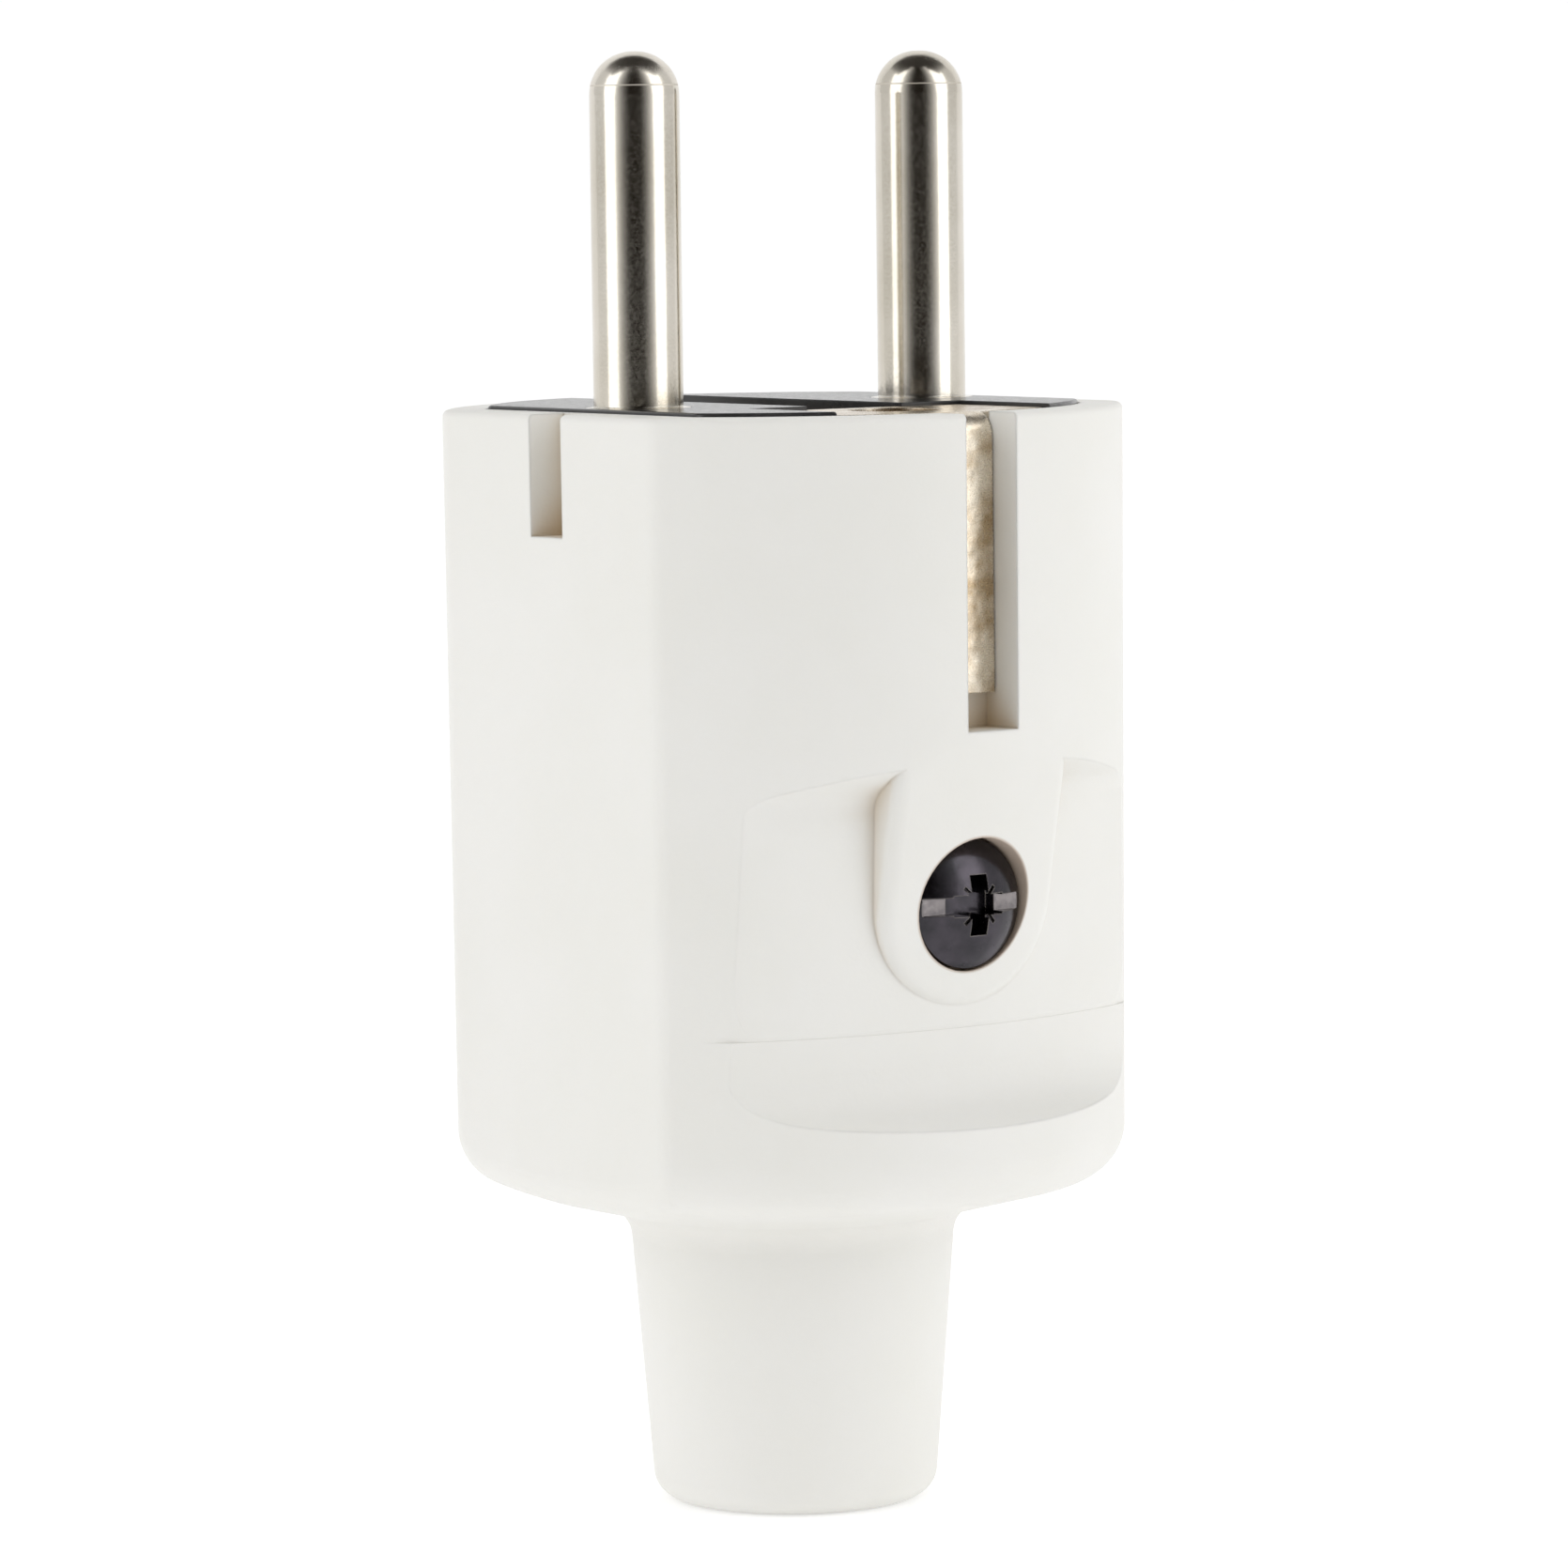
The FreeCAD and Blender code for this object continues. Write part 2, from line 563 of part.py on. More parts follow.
def earth_stirrup():
    """Bent strip: side contact, plate round the earth hole, joggle, web and second side contact."""
    t = STRIP_THICKNESS
    foot = HOOD_HEIGHT - LEG_LENGTH
    joggle_start = -PLATE_INNER_Y
    joggle_end = joggle_start + JOGGLE_RUN
    shift = t * math.tan(math.atan(STRIP_DROP / JOGGLE_RUN) / 2)
    outline = [
        (-LEG_SURFACE_Y, foot),
        (-LEG_SURFACE_Y, PLATE_TOP_Z),
        (joggle_start + shift, PLATE_TOP_Z),
        (joggle_end + shift, STRIP_TOP_Z),
        (LEG_SURFACE_Y, STRIP_TOP_Z),
        (LEG_SURFACE_Y, foot),
        (LEG_BACK_Y, foot),
        (LEG_BACK_Y, STRIP_UNDER_Z),
        (joggle_end, STRIP_UNDER_Z),
        (joggle_start, PLATE_UNDER_Z),
        (-LEG_BACK_Y, PLATE_UNDER_Z),
        (-LEG_BACK_Y, foot),
    ]
    corners = [Vector(-FAR, y, z) for y, z in outline]
    strip = Part.Face(Part.makePolygon(corners + corners[:1])).extrude(Vector(2 * FAR, 0, 0))
    strip = rounded(strip, STRIP_BEND + t, lambda p: near(abs(p.y), LEG_SURFACE_Y) and p.z > foot + t and near(p.x, 0))
    strip = rounded(strip, STRIP_BEND, lambda p: near(abs(p.y), LEG_BACK_Y) and p.z > foot + t and near(p.x, 0))
    strip = strip.common(stirrup_mask(0))
    strip = strip.cut(post(EARTH_HOLE_RADIUS, 0, -EARTH_HOLE_Y, LEDGE_Z, FACE_Z))
    return strip.cut(post(RIVET_RADIUS + FIT_CLEARANCE, 0, RIVET_Y, LEDGE_Z, FACE_Z))


def earth_socket_sleeve():
    """Sleeve under the earth hole, slit from below, with a collar cut flat beside the joggle."""
    y = -EARTH_HOLE_Y
    body = post(SLEEVE_RADIUS, 0, y, SLEEVE_BOTTOM_Z, PLATE_UNDER_Z)
    collar = post(SLEEVE_COLLAR_RADIUS, 0, y, PLATE_UNDER_Z - SLEEVE_COLLAR_HEIGHT, PLATE_UNDER_Z)
    collar = collar.cut(box(-FAR, FAR, -PLATE_INNER_Y - CARRIER_CLEARANCE, 0, 0, FACE_Z))
    body = body.fuse(collar).removeSplitter()
    body = body.cut(post(EARTH_HOLE_RADIUS, 0, y, SLEEVE_BOTTOM_Z, PLATE_UNDER_Z))
    half = SLEEVE_SLIT_WIDTH / 2
    top = SLEEVE_BOTTOM_Z + SLEEVE_SLIT_LENGTH
    return body.cut(box(-FAR, FAR, y - half, y + half, SLEEVE_BOTTOM_Z, top))


def earth_sleeve_spring():
    """Open ring that closes the slit end of the sleeve on the pin."""
    y = -EARTH_HOLE_Y
    z0 = SLEEVE_BOTTOM_Z + SPRING_RISE
    z1 = z0 + SPRING_HEIGHT
    inner = SLEEVE_RADIUS + FIT_CLEARANCE
    ring = post(inner + SPRING_THICKNESS, 0, y, z0, z1).cut(post(inner, 0, y, z0, z1))
    half = SPRING_GAP / 2
    return ring.cut(box(-half, half, y, y + FAR, z0, z1))


def earth_rivet():
    """Rivet through the stirrup's web and the carrier into the terminal block."""
    body = post(RIVET_RADIUS, 0, RIVET_Y, BLOCK_TOP_Z - RIVET_GRIP_IN_BLOCK, STRIP_TOP_Z)
    head = post(RIVET_HEAD_RADIUS, 0, RIVET_Y, STRIP_TOP_Z, STRIP_TOP_Z + RIVET_HEAD_HEIGHT)
    head = rounded(head, RIVET_HEAD_ROUND, lambda p: near(p.z, STRIP_TOP_Z + RIVET_HEAD_HEIGHT))
    return body.fuse(head).removeSplitter()


def earth_terminal_block():
    """Brass block under the carrier's web, riveted above and tapped below."""
    block = box(-BLOCK_HALF_WIDTH, BLOCK_HALF_WIDTH, RIVET_Y - BLOCK_HALF_DEPTH, RIVET_Y + BLOCK_HALF_DEPTH,
                BLOCK_BOTTOM_Z, BLOCK_TOP_Z)
    block = block.cut(post(RIVET_RADIUS, 0, RIVET_Y, BLOCK_TOP_Z - RIVET_GRIP_IN_BLOCK, BLOCK_TOP_Z))
    tapped = EARTH_SCREW_LENGTH - CLAMP_PLATE_THICKNESS
    return block.cut(post(EARTH_SCREW_RADIUS + THREAD_CLEARANCE, 0, RIVET_Y, BLOCK_BOTTOM_Z,
                          BLOCK_BOTTOM_Z + tapped))


def earth_clamp_plate():
    """Square plate that the earth screw presses on the wire."""
    half_x = BLOCK_HALF_WIDTH
    half_y = BLOCK_HALF_DEPTH
    plate = box(-half_x, half_x, RIVET_Y - half_y, RIVET_Y + half_y, CLAMP_PLATE_BOTTOM_Z, BLOCK_BOTTOM_Z)
    return plate.cut(post(EARTH_SCREW_RADIUS + FIT_CLEARANCE, 0, RIVET_Y, CLAMP_PLATE_BOTTOM_Z, BLOCK_BOTTOM_Z))


def earth_terminal_screw():
    """Screw of the earth terminal, driven from below."""
    screw = slotted_screw(EARTH_SCREW_RADIUS, EARTH_SCREW_LENGTH, EARTH_SCREW_HEAD_RADIUS, EARTH_SCREW_HEAD_HEIGHT)
    screw.translate(Vector(0, RIVET_Y, CLAMP_PLATE_BOTTOM_Z))
    return screw


def earth_spaces(gap):
    """What the carrier leaves free for the stirrup, sleeve, rivet and terminal."""
    top = FACE_Z + OVERCUT
    y = -EARTH_HOLE_Y
    plate_half = PLATE_HALF_WIDTH + CHANNEL_GAP
    strip_half = STRIP_HALF_WIDTH + CHANNEL_GAP
    spring_radius = SLEEVE_RADIUS + gap + SPRING_THICKNESS
    collar_z = PLATE_UNDER_Z - SLEEVE_COLLAR_HEIGHT
    notch_half = RIB_HALF_WIDTH + CARRIER_CLEARANCE
    notch_y = RIB_INNER_Y - CARRIER_CLEARANCE
    spaces = [
        box(-plate_half, plate_half, -FAR, -PLATE_INNER_Y + CHANNEL_GAP, PLATE_UNDER_Z, top),
        box(-strip_half, strip_half, -PLATE_INNER_Y, FAR, STRIP_UNDER_Z, top),
        post(spring_radius + gap, 0, y, SLEEVE_BOTTOM_Z - gap, PLATE_UNDER_Z),
        post(SLEEVE_COLLAR_RADIUS + gap, 0, y, collar_z, PLATE_UNDER_Z),
        post(RIVET_RADIUS + gap, 0, RIVET_Y, BLOCK_TOP_Z, top),
        box(-BLOCK_HALF_WIDTH - gap, BLOCK_HALF_WIDTH + gap, RIVET_Y - BLOCK_HALF_DEPTH - gap,
            RIVET_Y + BLOCK_HALF_DEPTH + gap, LEDGE_Z - OVERCUT, BLOCK_TOP_Z),
    ]
    for side in (-1, 1):
        y0, y1 = sorted((side * notch_y, side * FAR))
        spaces.append(box(-notch_half, notch_half, y0, y1, LEDGE_Z - OVERCUT, top))
    return spaces


def carrier_tail():
    """Tongue for the housing screw, and the two rails that carry the cord cradle."""
    crown = radius_at(GRIP_LOW_Z) - GRIP_DEPTH_LOW - LOWER_WALL - CARRIER_CLEARANCE
    tongue_z = SCREW_Z - TONGUE_BELOW_SCREW
    tongue = box(-TONGUE_HALF_WIDTH, TONGUE_HALF_WIDTH, -crown, -TONGUE_INNER_Y, tongue_z, LEDGE_Z)
    tongue = tongue.common(lower_chamber(CARRIER_CLEARANCE))
    parts = [tongue]
    cradle_top = CLAMP_Z + CLAMP_HEIGHT
    parts.append(box(-CLAMP_HALF_WIDTH, CLAMP_HALF_WIDTH, 0, CLAMP_CRADLE_DEPTH, CLAMP_Z, cradle_top))
    for side in (-1, 1):
        x0, x1 = sorted((side * RAIL_INNER_X, side * RAIL_OUTER_X))
        parts.append(box(x0, x1, RAIL_INNER_Y, RAIL_OUTER_Y, CLAMP_Z, LEDGE_Z))
    return parts


def clamp_teeth(side):
    """Ribs across the cord's way, on the cradle (side 1) or on the saddle (side -1)."""
    teeth = []
    step = CLAMP_HEIGHT / CLAMP_TOOTH_COUNT
    ring_inner = CLAMP_BORE_RADIUS - CLAMP_TOOTH_HEIGHT
    for index in range(CLAMP_TOOTH_COUNT):
        z0 = CLAMP_Z + step * (index + 0.5) - CLAMP_TOOTH_WIDTH / 2
        z1 = z0 + CLAMP_TOOTH_WIDTH
        ring = post(CLAMP_BORE_RADIUS + CLAMP_TOOTH_HEIGHT, 0, 0, z0, z1).cut(post(ring_inner, 0, 0, z0, z1))
        y0, y1 = sorted((0, side * FAR))
        teeth.append(ring.common(box(-FAR, FAR, y0, y1, z0, z1)))
    return teeth


def nut_pocket(gap):
    """Six-sided pocket in the tongue, open towards the inside of the hood."""
    return hex_bar(NUT_ACROSS_FLATS / 2 + gap, nut_outer_y(), 0)


def nut_outer_y():
    """Y of the nut's face nearer the hood's front wall."""
    return -TONGUE_INNER_Y - NUT_INSET - NUT_THICKNESS


def hex_bar(half_flats, y0, y1):
    """Six-sided bar along Y, centred on the housing screw."""
    corner = half_flats / math.cos(math.radians(30))
    points = []
    for index in range(7):
        angle = math.radians(60 * index)
        points.append(Vector(corner * math.cos(angle), y0, SCREW_Z + corner * math.sin(angle)))
    return Part.Face(Part.makePolygon(points)).extrude(Vector(0, y1 - y0, 0))


def contact_carrier():
    """Black moulded insert: face block, tongue, rails and cord cradle, all in one."""
    body = flatted_disc(CARRIER_RADIUS, CARRIER_HALF_FLAT, CARRIER_CORNER, LEDGE_Z, FACE_Z)
    body = rounded(body, CARRIER_FACE_ROUND, lambda p: near(p.z, FACE_Z))
    for piece in carrier_tail():
        body = body.fuse(piece)
    body = body.removeSplitter()
    for space in carrier_pockets(FIT_CLEARANCE) + earth_spaces(FIT_CLEARANCE):
        body = body.cut(space)
    cradle_top = CLAMP_Z + CLAMP_HEIGHT
    body = body.cut(post(CLAMP_BORE_RADIUS, 0, 0, CLAMP_Z, cradle_top))
    for tooth in clamp_teeth(1):
        body = body.fuse(tooth)
    for side in (-1, 1):
        pilot = CLAMP_SCREW_LENGTH - CLAMP_SADDLE_THICKNESS
        body = body.cut(bar(CLAMP_SCREW_RADIUS + THREAD_CLEARANCE, side * CLAMP_SCREW_X, 0, pilot, clamp_screw_z()))
    pilot_z = RETAINER_Z + RETAINER_SCREW_LENGTH
    body = body.cut(post(RETAINER_SCREW_RADIUS + THREAD_CLEARANCE, 0, RETAINER_SCREW_Y, LEDGE_Z, pilot_z))
    body = body.cut(bar(SCREW_RADIUS + SCREW_HOLE_GAP, 0, -FAR, 0, SCREW_Z).common(
        box(-FAR, FAR, -FAR, nut_outer_y(), 0, LEDGE_Z)))
    return body.cut(nut_pocket(FIT_CLEARANCE)).removeSplitter()


def pin_retainer():
    """Plate under the pins' heads, with wire holes and room for the tongue and earth screw."""
    half_x = CAVITY_HALF_FLAT - RETAINER_SIDE_GAP
    plate = box(-half_x, half_x, -RETAINER_HALF_DEPTH, RETAINER_HALF_DEPTH, RETAINER_Z, LEDGE_Z)
    for side in (-1, 1):
        plate = plate.cut(post(RETAINER_WIRE_HOLE_RADIUS, side * PIN_PITCH / 2, 0, RETAINER_Z, LEDGE_Z))
    room = 2 * FIT_CLEARANCE
    plate = plate.cut(box(-BLOCK_HALF_WIDTH - room, BLOCK_HALF_WIDTH + room, RIVET_Y - BLOCK_HALF_DEPTH - room, FAR,
                          RETAINER_Z, LEDGE_Z))
    plate = plate.cut(post(EARTH_SCREW_HEAD_RADIUS + 2 * room, 0, RIVET_Y, RETAINER_Z, LEDGE_Z))
    return plate.cut(post(RETAINER_SCREW_RADIUS + FIT_CLEARANCE, 0, RETAINER_SCREW_Y, RETAINER_Z, LEDGE_Z))


def pin_retainer_screw():
    """Screw that holds the retainer to the carrier."""
    screw = slotted_screw(RETAINER_SCREW_RADIUS, RETAINER_SCREW_LENGTH, RETAINER_SCREW_HEAD_RADIUS,
                          RETAINER_SCREW_HEAD_HEIGHT)
    screw.translate(Vector(0, RETAINER_SCREW_Y, RETAINER_Z))
    return screw


def clamp_screw_z():
    """Height of the two cord clamp screws."""
    return CLAMP_Z + CLAMP_HEIGHT / 2


def cord_clamp_saddle():
    """Bridge with two ears and a round back that holds the cord in the cradle."""
    top = CLAMP_Z + CLAMP_HEIGHT
    outer = CLAMP_BORE_RADIUS + CLAMP_SADDLE_THICKNESS
    ears = box(-CLAMP_HALF_WIDTH, CLAMP_HALF_WIDTH, -CLAMP_SADDLE_THICKNESS, 0, CLAMP_Z, top)
    back = post(outer, 0, 0, CLAMP_Z, top).common(box(-outer, outer, -outer, 0, CLAMP_Z, top))
    body = ears.fuse(back).removeSplitter().cut(post(CLAMP_BORE_RADIUS, 0, 0, CLAMP_Z, top))
    for tooth in clamp_teeth(-1):
        body = body.fuse(tooth)
    for side in (-1, 1):
        hole = CLAMP_SCREW_RADIUS + FIT_CLEARANCE
        body = body.cut(bar(hole, side * CLAMP_SCREW_X, -CLAMP_SADDLE_THICKNESS, 0, clamp_screw_z()))
    return body.removeSplitter()


def cord_clamp_screw(side):
    """Screw through one ear of the saddle into the cradle."""
    screw = slotted_screw(CLAMP_SCREW_RADIUS, CLAMP_SCREW_LENGTH, CLAMP_SCREW_HEAD_RADIUS, CLAMP_SCREW_HEAD_HEIGHT)
    screw.rotate(Vector(0, 0, 0), Vector(1, 0, 0), -90)
    screw.translate(Vector(side * CLAMP_SCREW_X, -CLAMP_SADDLE_THICKNESS, clamp_screw_z()))
    return screw


def housing_screw():
    """Domed screw that holds the hood to the carrier, with a slot and a cross recess."""
    rim_y = boss_face_y() + SCREW_RIM_BELOW_FACE
    seat_y = rim_y + SCREW_HEAD_RIM
    crown_y = rim_y - SCREW_DOME
    head = bar(SCREW_HEAD_RADIUS, 0, crown_y, seat_y, SCREW_Z)
    dome_radius = (SCREW_HEAD_RADIUS ** 2 + SCREW_DOME ** 2) / (2 * SCREW_DOME)
    head = head.common(Part.makeSphere(dome_radius, Vector(0, crown_y + dome_radius, SCREW_Z)))
    body = head.fuse(bar(SCREW_RADIUS, 0, seat_y, seat_y + SCREW_LENGTH, SCREW_Z)).removeSplitter()
    half = SCREW_SLOT_WIDTH / 2
    body = body.cut(box(-FAR, FAR, crown_y, crown_y + SCREW_SLOT_DEPTH, SCREW_Z - half, SCREW_Z + half))
    wide = SCREW_CROSS_WIDTH / 2
    arm = SCREW_CROSS_LENGTH / 2
    deep = crown_y + SCREW_CROSS_DEPTH
    body = body.cut(box(-wide, wide, crown_y, deep, SCREW_Z - arm, SCREW_Z + arm))
    body = body.cut(box(-arm, arm, crown_y, deep, SCREW_Z - wide, SCREW_Z + wide))
    thin = SCREW_TICK_WIDTH / 2
    floor_y = crown_y + dome_radius - math.sqrt(dome_radius ** 2 - SCREW_TICK_REACH ** 2) + SCREW_TICK_DEPTH
    for turn in (45, 135):
        tick = box(-SCREW_TICK_REACH, SCREW_TICK_REACH, crown_y, floor_y, SCREW_Z - thin, SCREW_Z + thin)
        tick.rotate(Vector(0, 0, SCREW_Z), Vector(0, 1, 0), turn)
        body = body.cut(tick)
    return body


def housing_screw_nut():
    """Captive nut in the carrier's tongue."""
    y0 = nut_outer_y()
    y1 = y0 + NUT_THICKNESS
    nut = hex_bar(NUT_ACROSS_FLATS / 2, y0, y1)
    return nut.cut(bar(SCREW_RADIUS + THREAD_CLEARANCE, 0, y0, y1, SCREW_Z))


def plug():
    """Every piece of the plug by name."""
    return {
        "hood": hood(),
        "contact_carrier": contact_carrier(),
        "pin_left": pin(-1),
        "pin_right": pin(1),
        "pin_terminal_screw_left": terminal_screw(-1),
        "pin_terminal_screw_right": terminal_screw(1),
        "pressure_leaf_left": pressure_leaf(-1),
        "pressure_leaf_right": pressure_leaf(1),
        "pin_retainer": pin_retainer(),
        "pin_retainer_screw": pin_retainer_screw(),
        "earth_stirrup": earth_stirrup(),
        "earth_socket_sleeve": earth_socket_sleeve(),
        "earth_sleeve_spring": earth_sleeve_spring(),
        "earth_rivet": earth_rivet(),
        "earth_terminal_block": earth_terminal_block(),
        "earth_clamp_plate": earth_clamp_plate(),
        "earth_terminal_screw": earth_terminal_screw(),
        "cord_clamp_saddle": cord_clamp_saddle(),
        "cord_clamp_screw_left": cord_clamp_screw(-1),
        "cord_clamp_screw_right": cord_clamp_screw(1),
        "housing_screw": housing_screw(),
        "housing_screw_nut": housing_screw_nut(),
    }


os.makedirs("parts", exist_ok=True)
for name, shape in plug().items():
    shape.exportStep(os.path.join("parts", name + ".step"))
    print(name, len(shape.Solids), shape.isValid(), round(shape.Volume, 1))
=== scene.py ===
"""Looks of a rewireable earthed plug: white hood, black contact carrier, nickel pins and earth contact."""
import logging
import math
from dataclasses import dataclass, field
from enum import Enum

import bmesh
import bpy
from mathutils import Matrix, Vector


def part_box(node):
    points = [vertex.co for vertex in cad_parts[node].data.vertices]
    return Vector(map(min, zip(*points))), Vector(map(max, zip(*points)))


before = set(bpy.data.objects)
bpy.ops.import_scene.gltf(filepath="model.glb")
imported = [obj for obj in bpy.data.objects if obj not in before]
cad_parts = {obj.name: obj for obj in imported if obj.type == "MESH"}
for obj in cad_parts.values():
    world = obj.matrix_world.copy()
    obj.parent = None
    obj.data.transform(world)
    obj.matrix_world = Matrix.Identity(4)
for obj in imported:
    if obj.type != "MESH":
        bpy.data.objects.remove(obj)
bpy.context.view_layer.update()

LOG = logging.getLogger("plug")

MM = 0.001
PER_MM = 1000.0
FULL = (0.0, 1.0)
WHITE = "ffffff"

# Samples of the bevel node, and the cosines between its normal and the true one that start and end an edge.
BEVEL_SAMPLES = 4
EDGE_COSINES = (0.99, 0.8)

# Noise seldom leaves this range.
NOISE_ENDS = (0.3, 0.7)

# A step of 0.04 mm crosses the front grip recess at 27.0 mm. Between these heights neither edges nor the
# painted hollow shade are drawn, so that it stays faint.
CALM_Z = (26.2 * MM, 28.0 * MM)

Tree = bpy.types.NodeTree
Socket = bpy.types.NodeSocket
Colour = tuple[float, float, float, float]
Span = tuple[float, float]


class Slot(Enum):
    """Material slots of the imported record."""

    HOOD = "hood_plastic"
    CARRIER = "carrier_plastic"
    PIN = "nickel_pin"
    STRIP = "nickel_strip"
    BRASS = "terminal_brass"
    BRONZE = "spring_bronze"
    ZINC = "zinc_steel"
    BLACK = "black_steel"


class Grain(Enum):
    """Ways in which a finish's fine marks run, as stretches of the noise along X, Y and Z."""

    EVEN = (1.0, 1.0, 1.0)
    ALONG_Y = (1.0, 0.08, 1.0)
    ALONG_Z = (1.0, 1.0, 0.08)
    ROUND_Z = (0.05, 0.05, 1.0)


def linear(code: str) -> Colour:
    """Turn an sRGB hex colour into linear light by the sRGB curve.

    Args:
        code: Six hex digits, red first.

    Returns:
        Red, green, blue and an alpha of one.
    """
    parts = [int(code[i:i + 2], 16) / 255 for i in (0, 2, 4)]
    red, green, blue = (c / 12.92 if c <= 0.04045 else ((c + 0.055) / 1.055) ** 2.4 for c in parts)
    return (red, green, blue, 1.0)


def add_node(
    tree: Tree, kind: str, settings: dict | None = None, inputs: dict | None = None,
) -> bpy.types.Node:
    """Add a shader node with its settings, constants and links.

    Args:
        tree: Node tree that takes the node.
        kind: Blender's name for the node.
        settings: Node properties by name.
        inputs: Sockets or constants by input name or number.

    Returns:
        The new node.
    """
    node = tree.nodes.new(kind)
    for name, value in (settings or {}).items():
        setattr(node, name, value)
    for key, value in (inputs or {}).items():
        if isinstance(value, bpy.types.NodeSocket):
            tree.links.new(value, node.inputs[key])
        else:
            node.inputs[key].default_value = value
    return node


def new_tree(name: str) -> tuple[bpy.types.Material, Tree]:
    """Make an empty node material.

    Args:
        name: Name of the material.

    Returns:
        The material and its node tree.
    """
    material = bpy.data.materials.new(name)
    material.use_nodes = True
    material.node_tree.nodes.clear()
    return material, material.node_tree


def surface(tree: Tree, kind: str, inputs: dict) -> None:
    """End a material in one shader.

    Args:
        tree: Node tree of the material.
        kind: Blender's name for the shader.
        inputs: Sockets or constants of the shader by input name.
    """
    shader = add_node(tree, kind, inputs=inputs).outputs[0]
    add_node(tree, "ShaderNodeOutputMaterial", inputs={"Surface": shader})


def maths(tree: Tree, operation: str, *values: object) -> Socket:
    """Do arithmetic on numbers.

    Args:
        tree: Node tree that takes the node.
        operation: Blender's name for the operation.
        values: Constants or sockets.

    Returns:
        The result.
    """
    return add_node(tree, "ShaderNodeMath", {"operation": operation}, dict(enumerate(values))).outputs[0]


def vectors(tree: Tree, operation: str, *values: object) -> bpy.types.Node:
    """Do arithmetic on vectors.

    Args:
        tree: Node tree that takes the node.
        operation: Blender's name for the operation.
        values: Constants or sockets.

    Returns:
        The node, with outputs called Vector and Value.
    """
    return add_node(tree, "ShaderNodeVectorMath", {"operation": operation}, dict(enumerate(values)))


def ranged(tree: Tree, value: Socket, ends: Span, out: Span) -> Socket:
    """Map a value from one range to another, held at both ends.

    Args:
        tree: Node tree that takes the node.
        value: What is mapped.
        ends: Low and high end of the value.
        out: What those ends become.

    Returns:
        The mapped value.
    """
    return add_node(tree, "ShaderNodeMapRange", {"clamp": True}, {
        "Value": value, "From Min": ends[0], "From Max": ends[1], "To Min": out[0], "To Max": out[1],
    }).outputs[0]


def mixed(tree: Tree, factor: Socket, low: object, high: object) -> Socket:
    """Mix two colours.

    Args:
        tree: Node tree that takes the node.
        factor: Share of the second colour.
        low: First colour or socket.
        high: Second colour or socket.

    Returns:
        The mixed colour.
    """
    return add_node(tree, "ShaderNodeMix", {"data_type": "RGBA"}, {0: factor, 6: low, 7: high}).outputs[2]


def place_in_row(tree: Tree) -> Socket:
    """Read the shaded point's place in the row's frame, in metres."""
    return add_node(tree, "ShaderNodeTexCoord").outputs["Object"]


def noise(tree: Tree, size_mm: float, grain: Grain = Grain.EVEN, detail: float = 3.0) -> Socket:
    """Add noise whose blotches have a real size.

    Args:
        tree: Node tree that takes the noise.
        size_mm: Width of one blotch.
        grain: Way in which the blotches are drawn out.
        detail: Number of finer layers.

    Returns:
        The noise's value, about one half on average.
    """
    scale = Vector(grain.value) * (PER_MM / size_mm)
    place = add_node(tree, "ShaderNodeMapping", inputs={"Vector": place_in_row(tree), "Scale": scale})
    return add_node(tree, "ShaderNodeTexNoise", inputs={
        "Vector": place.outputs[0], "Scale": 1.0, "Detail": detail}).outputs[0]


def axis(tree: Tree, name: str) -> Socket:
    """Read one coordinate of the shaded point.

    Args:
        tree: Node tree that takes the nodes.
        name: X, Y or Z.

    Returns:
        The coordinate in metres.
    """
    return add_node(tree, "ShaderNodeSeparateXYZ", inputs={0: place_in_row(tree)}).outputs[name]


def inside(tree: Tree, name: str, low: float, high: float) -> Socket:
    """Mark what lies inside a range of one coordinate.

    Args:
        tree: Node tree that takes the nodes.
        name: X, Y or Z.
        low: Low end of the range in metres.
        high: High end of the range in metres.

    Returns:
        A mask that is one inside the range and zero outside.
    """
    return maths(tree, "COMPARE", axis(tree, name), (low + high) / 2, (high - low) / 2)


def edge_mask(tree: Tree, radius: object) -> tuple[Socket, Socket]:
    """Find edges by comparing the bevelled normal with the true one.

    Args:
        tree: Node tree that takes the nodes.
        radius: How far from an edge the mask reaches, in metres or as a socket.

    Returns:
        The bevelled normal, and a mask that is one on edges.
    """
    bevel = add_node(tree, "ShaderNodeBevel", {"samples": BEVEL_SAMPLES}, {"Radius": radius}).outputs[0]
    true = add_node(tree, "ShaderNodeNewGeometry").outputs["Normal"]
    cosine = vectors(tree, "DOT_PRODUCT", bevel, true).outputs["Value"]
    return bevel, ranged(tree, cosine, EDGE_COSINES, FULL)


def bumped(tree: Tree, normal: Socket, height: Socket, depth_mm: float) -> Socket:
    """Raise and sink a surface by a pattern.

    Args:
        tree: Node tree that takes the node.
        normal: Normal so far.
        height: The pattern.
        depth_mm: Height of the pattern from zero to one.

    Returns:
        The new normal.
    """
    return add_node(tree, "ShaderNodeBump", inputs={
        "Height": height, "Normal": normal, "Distance": depth_mm * MM, "Strength": 1.0}).outputs[0]


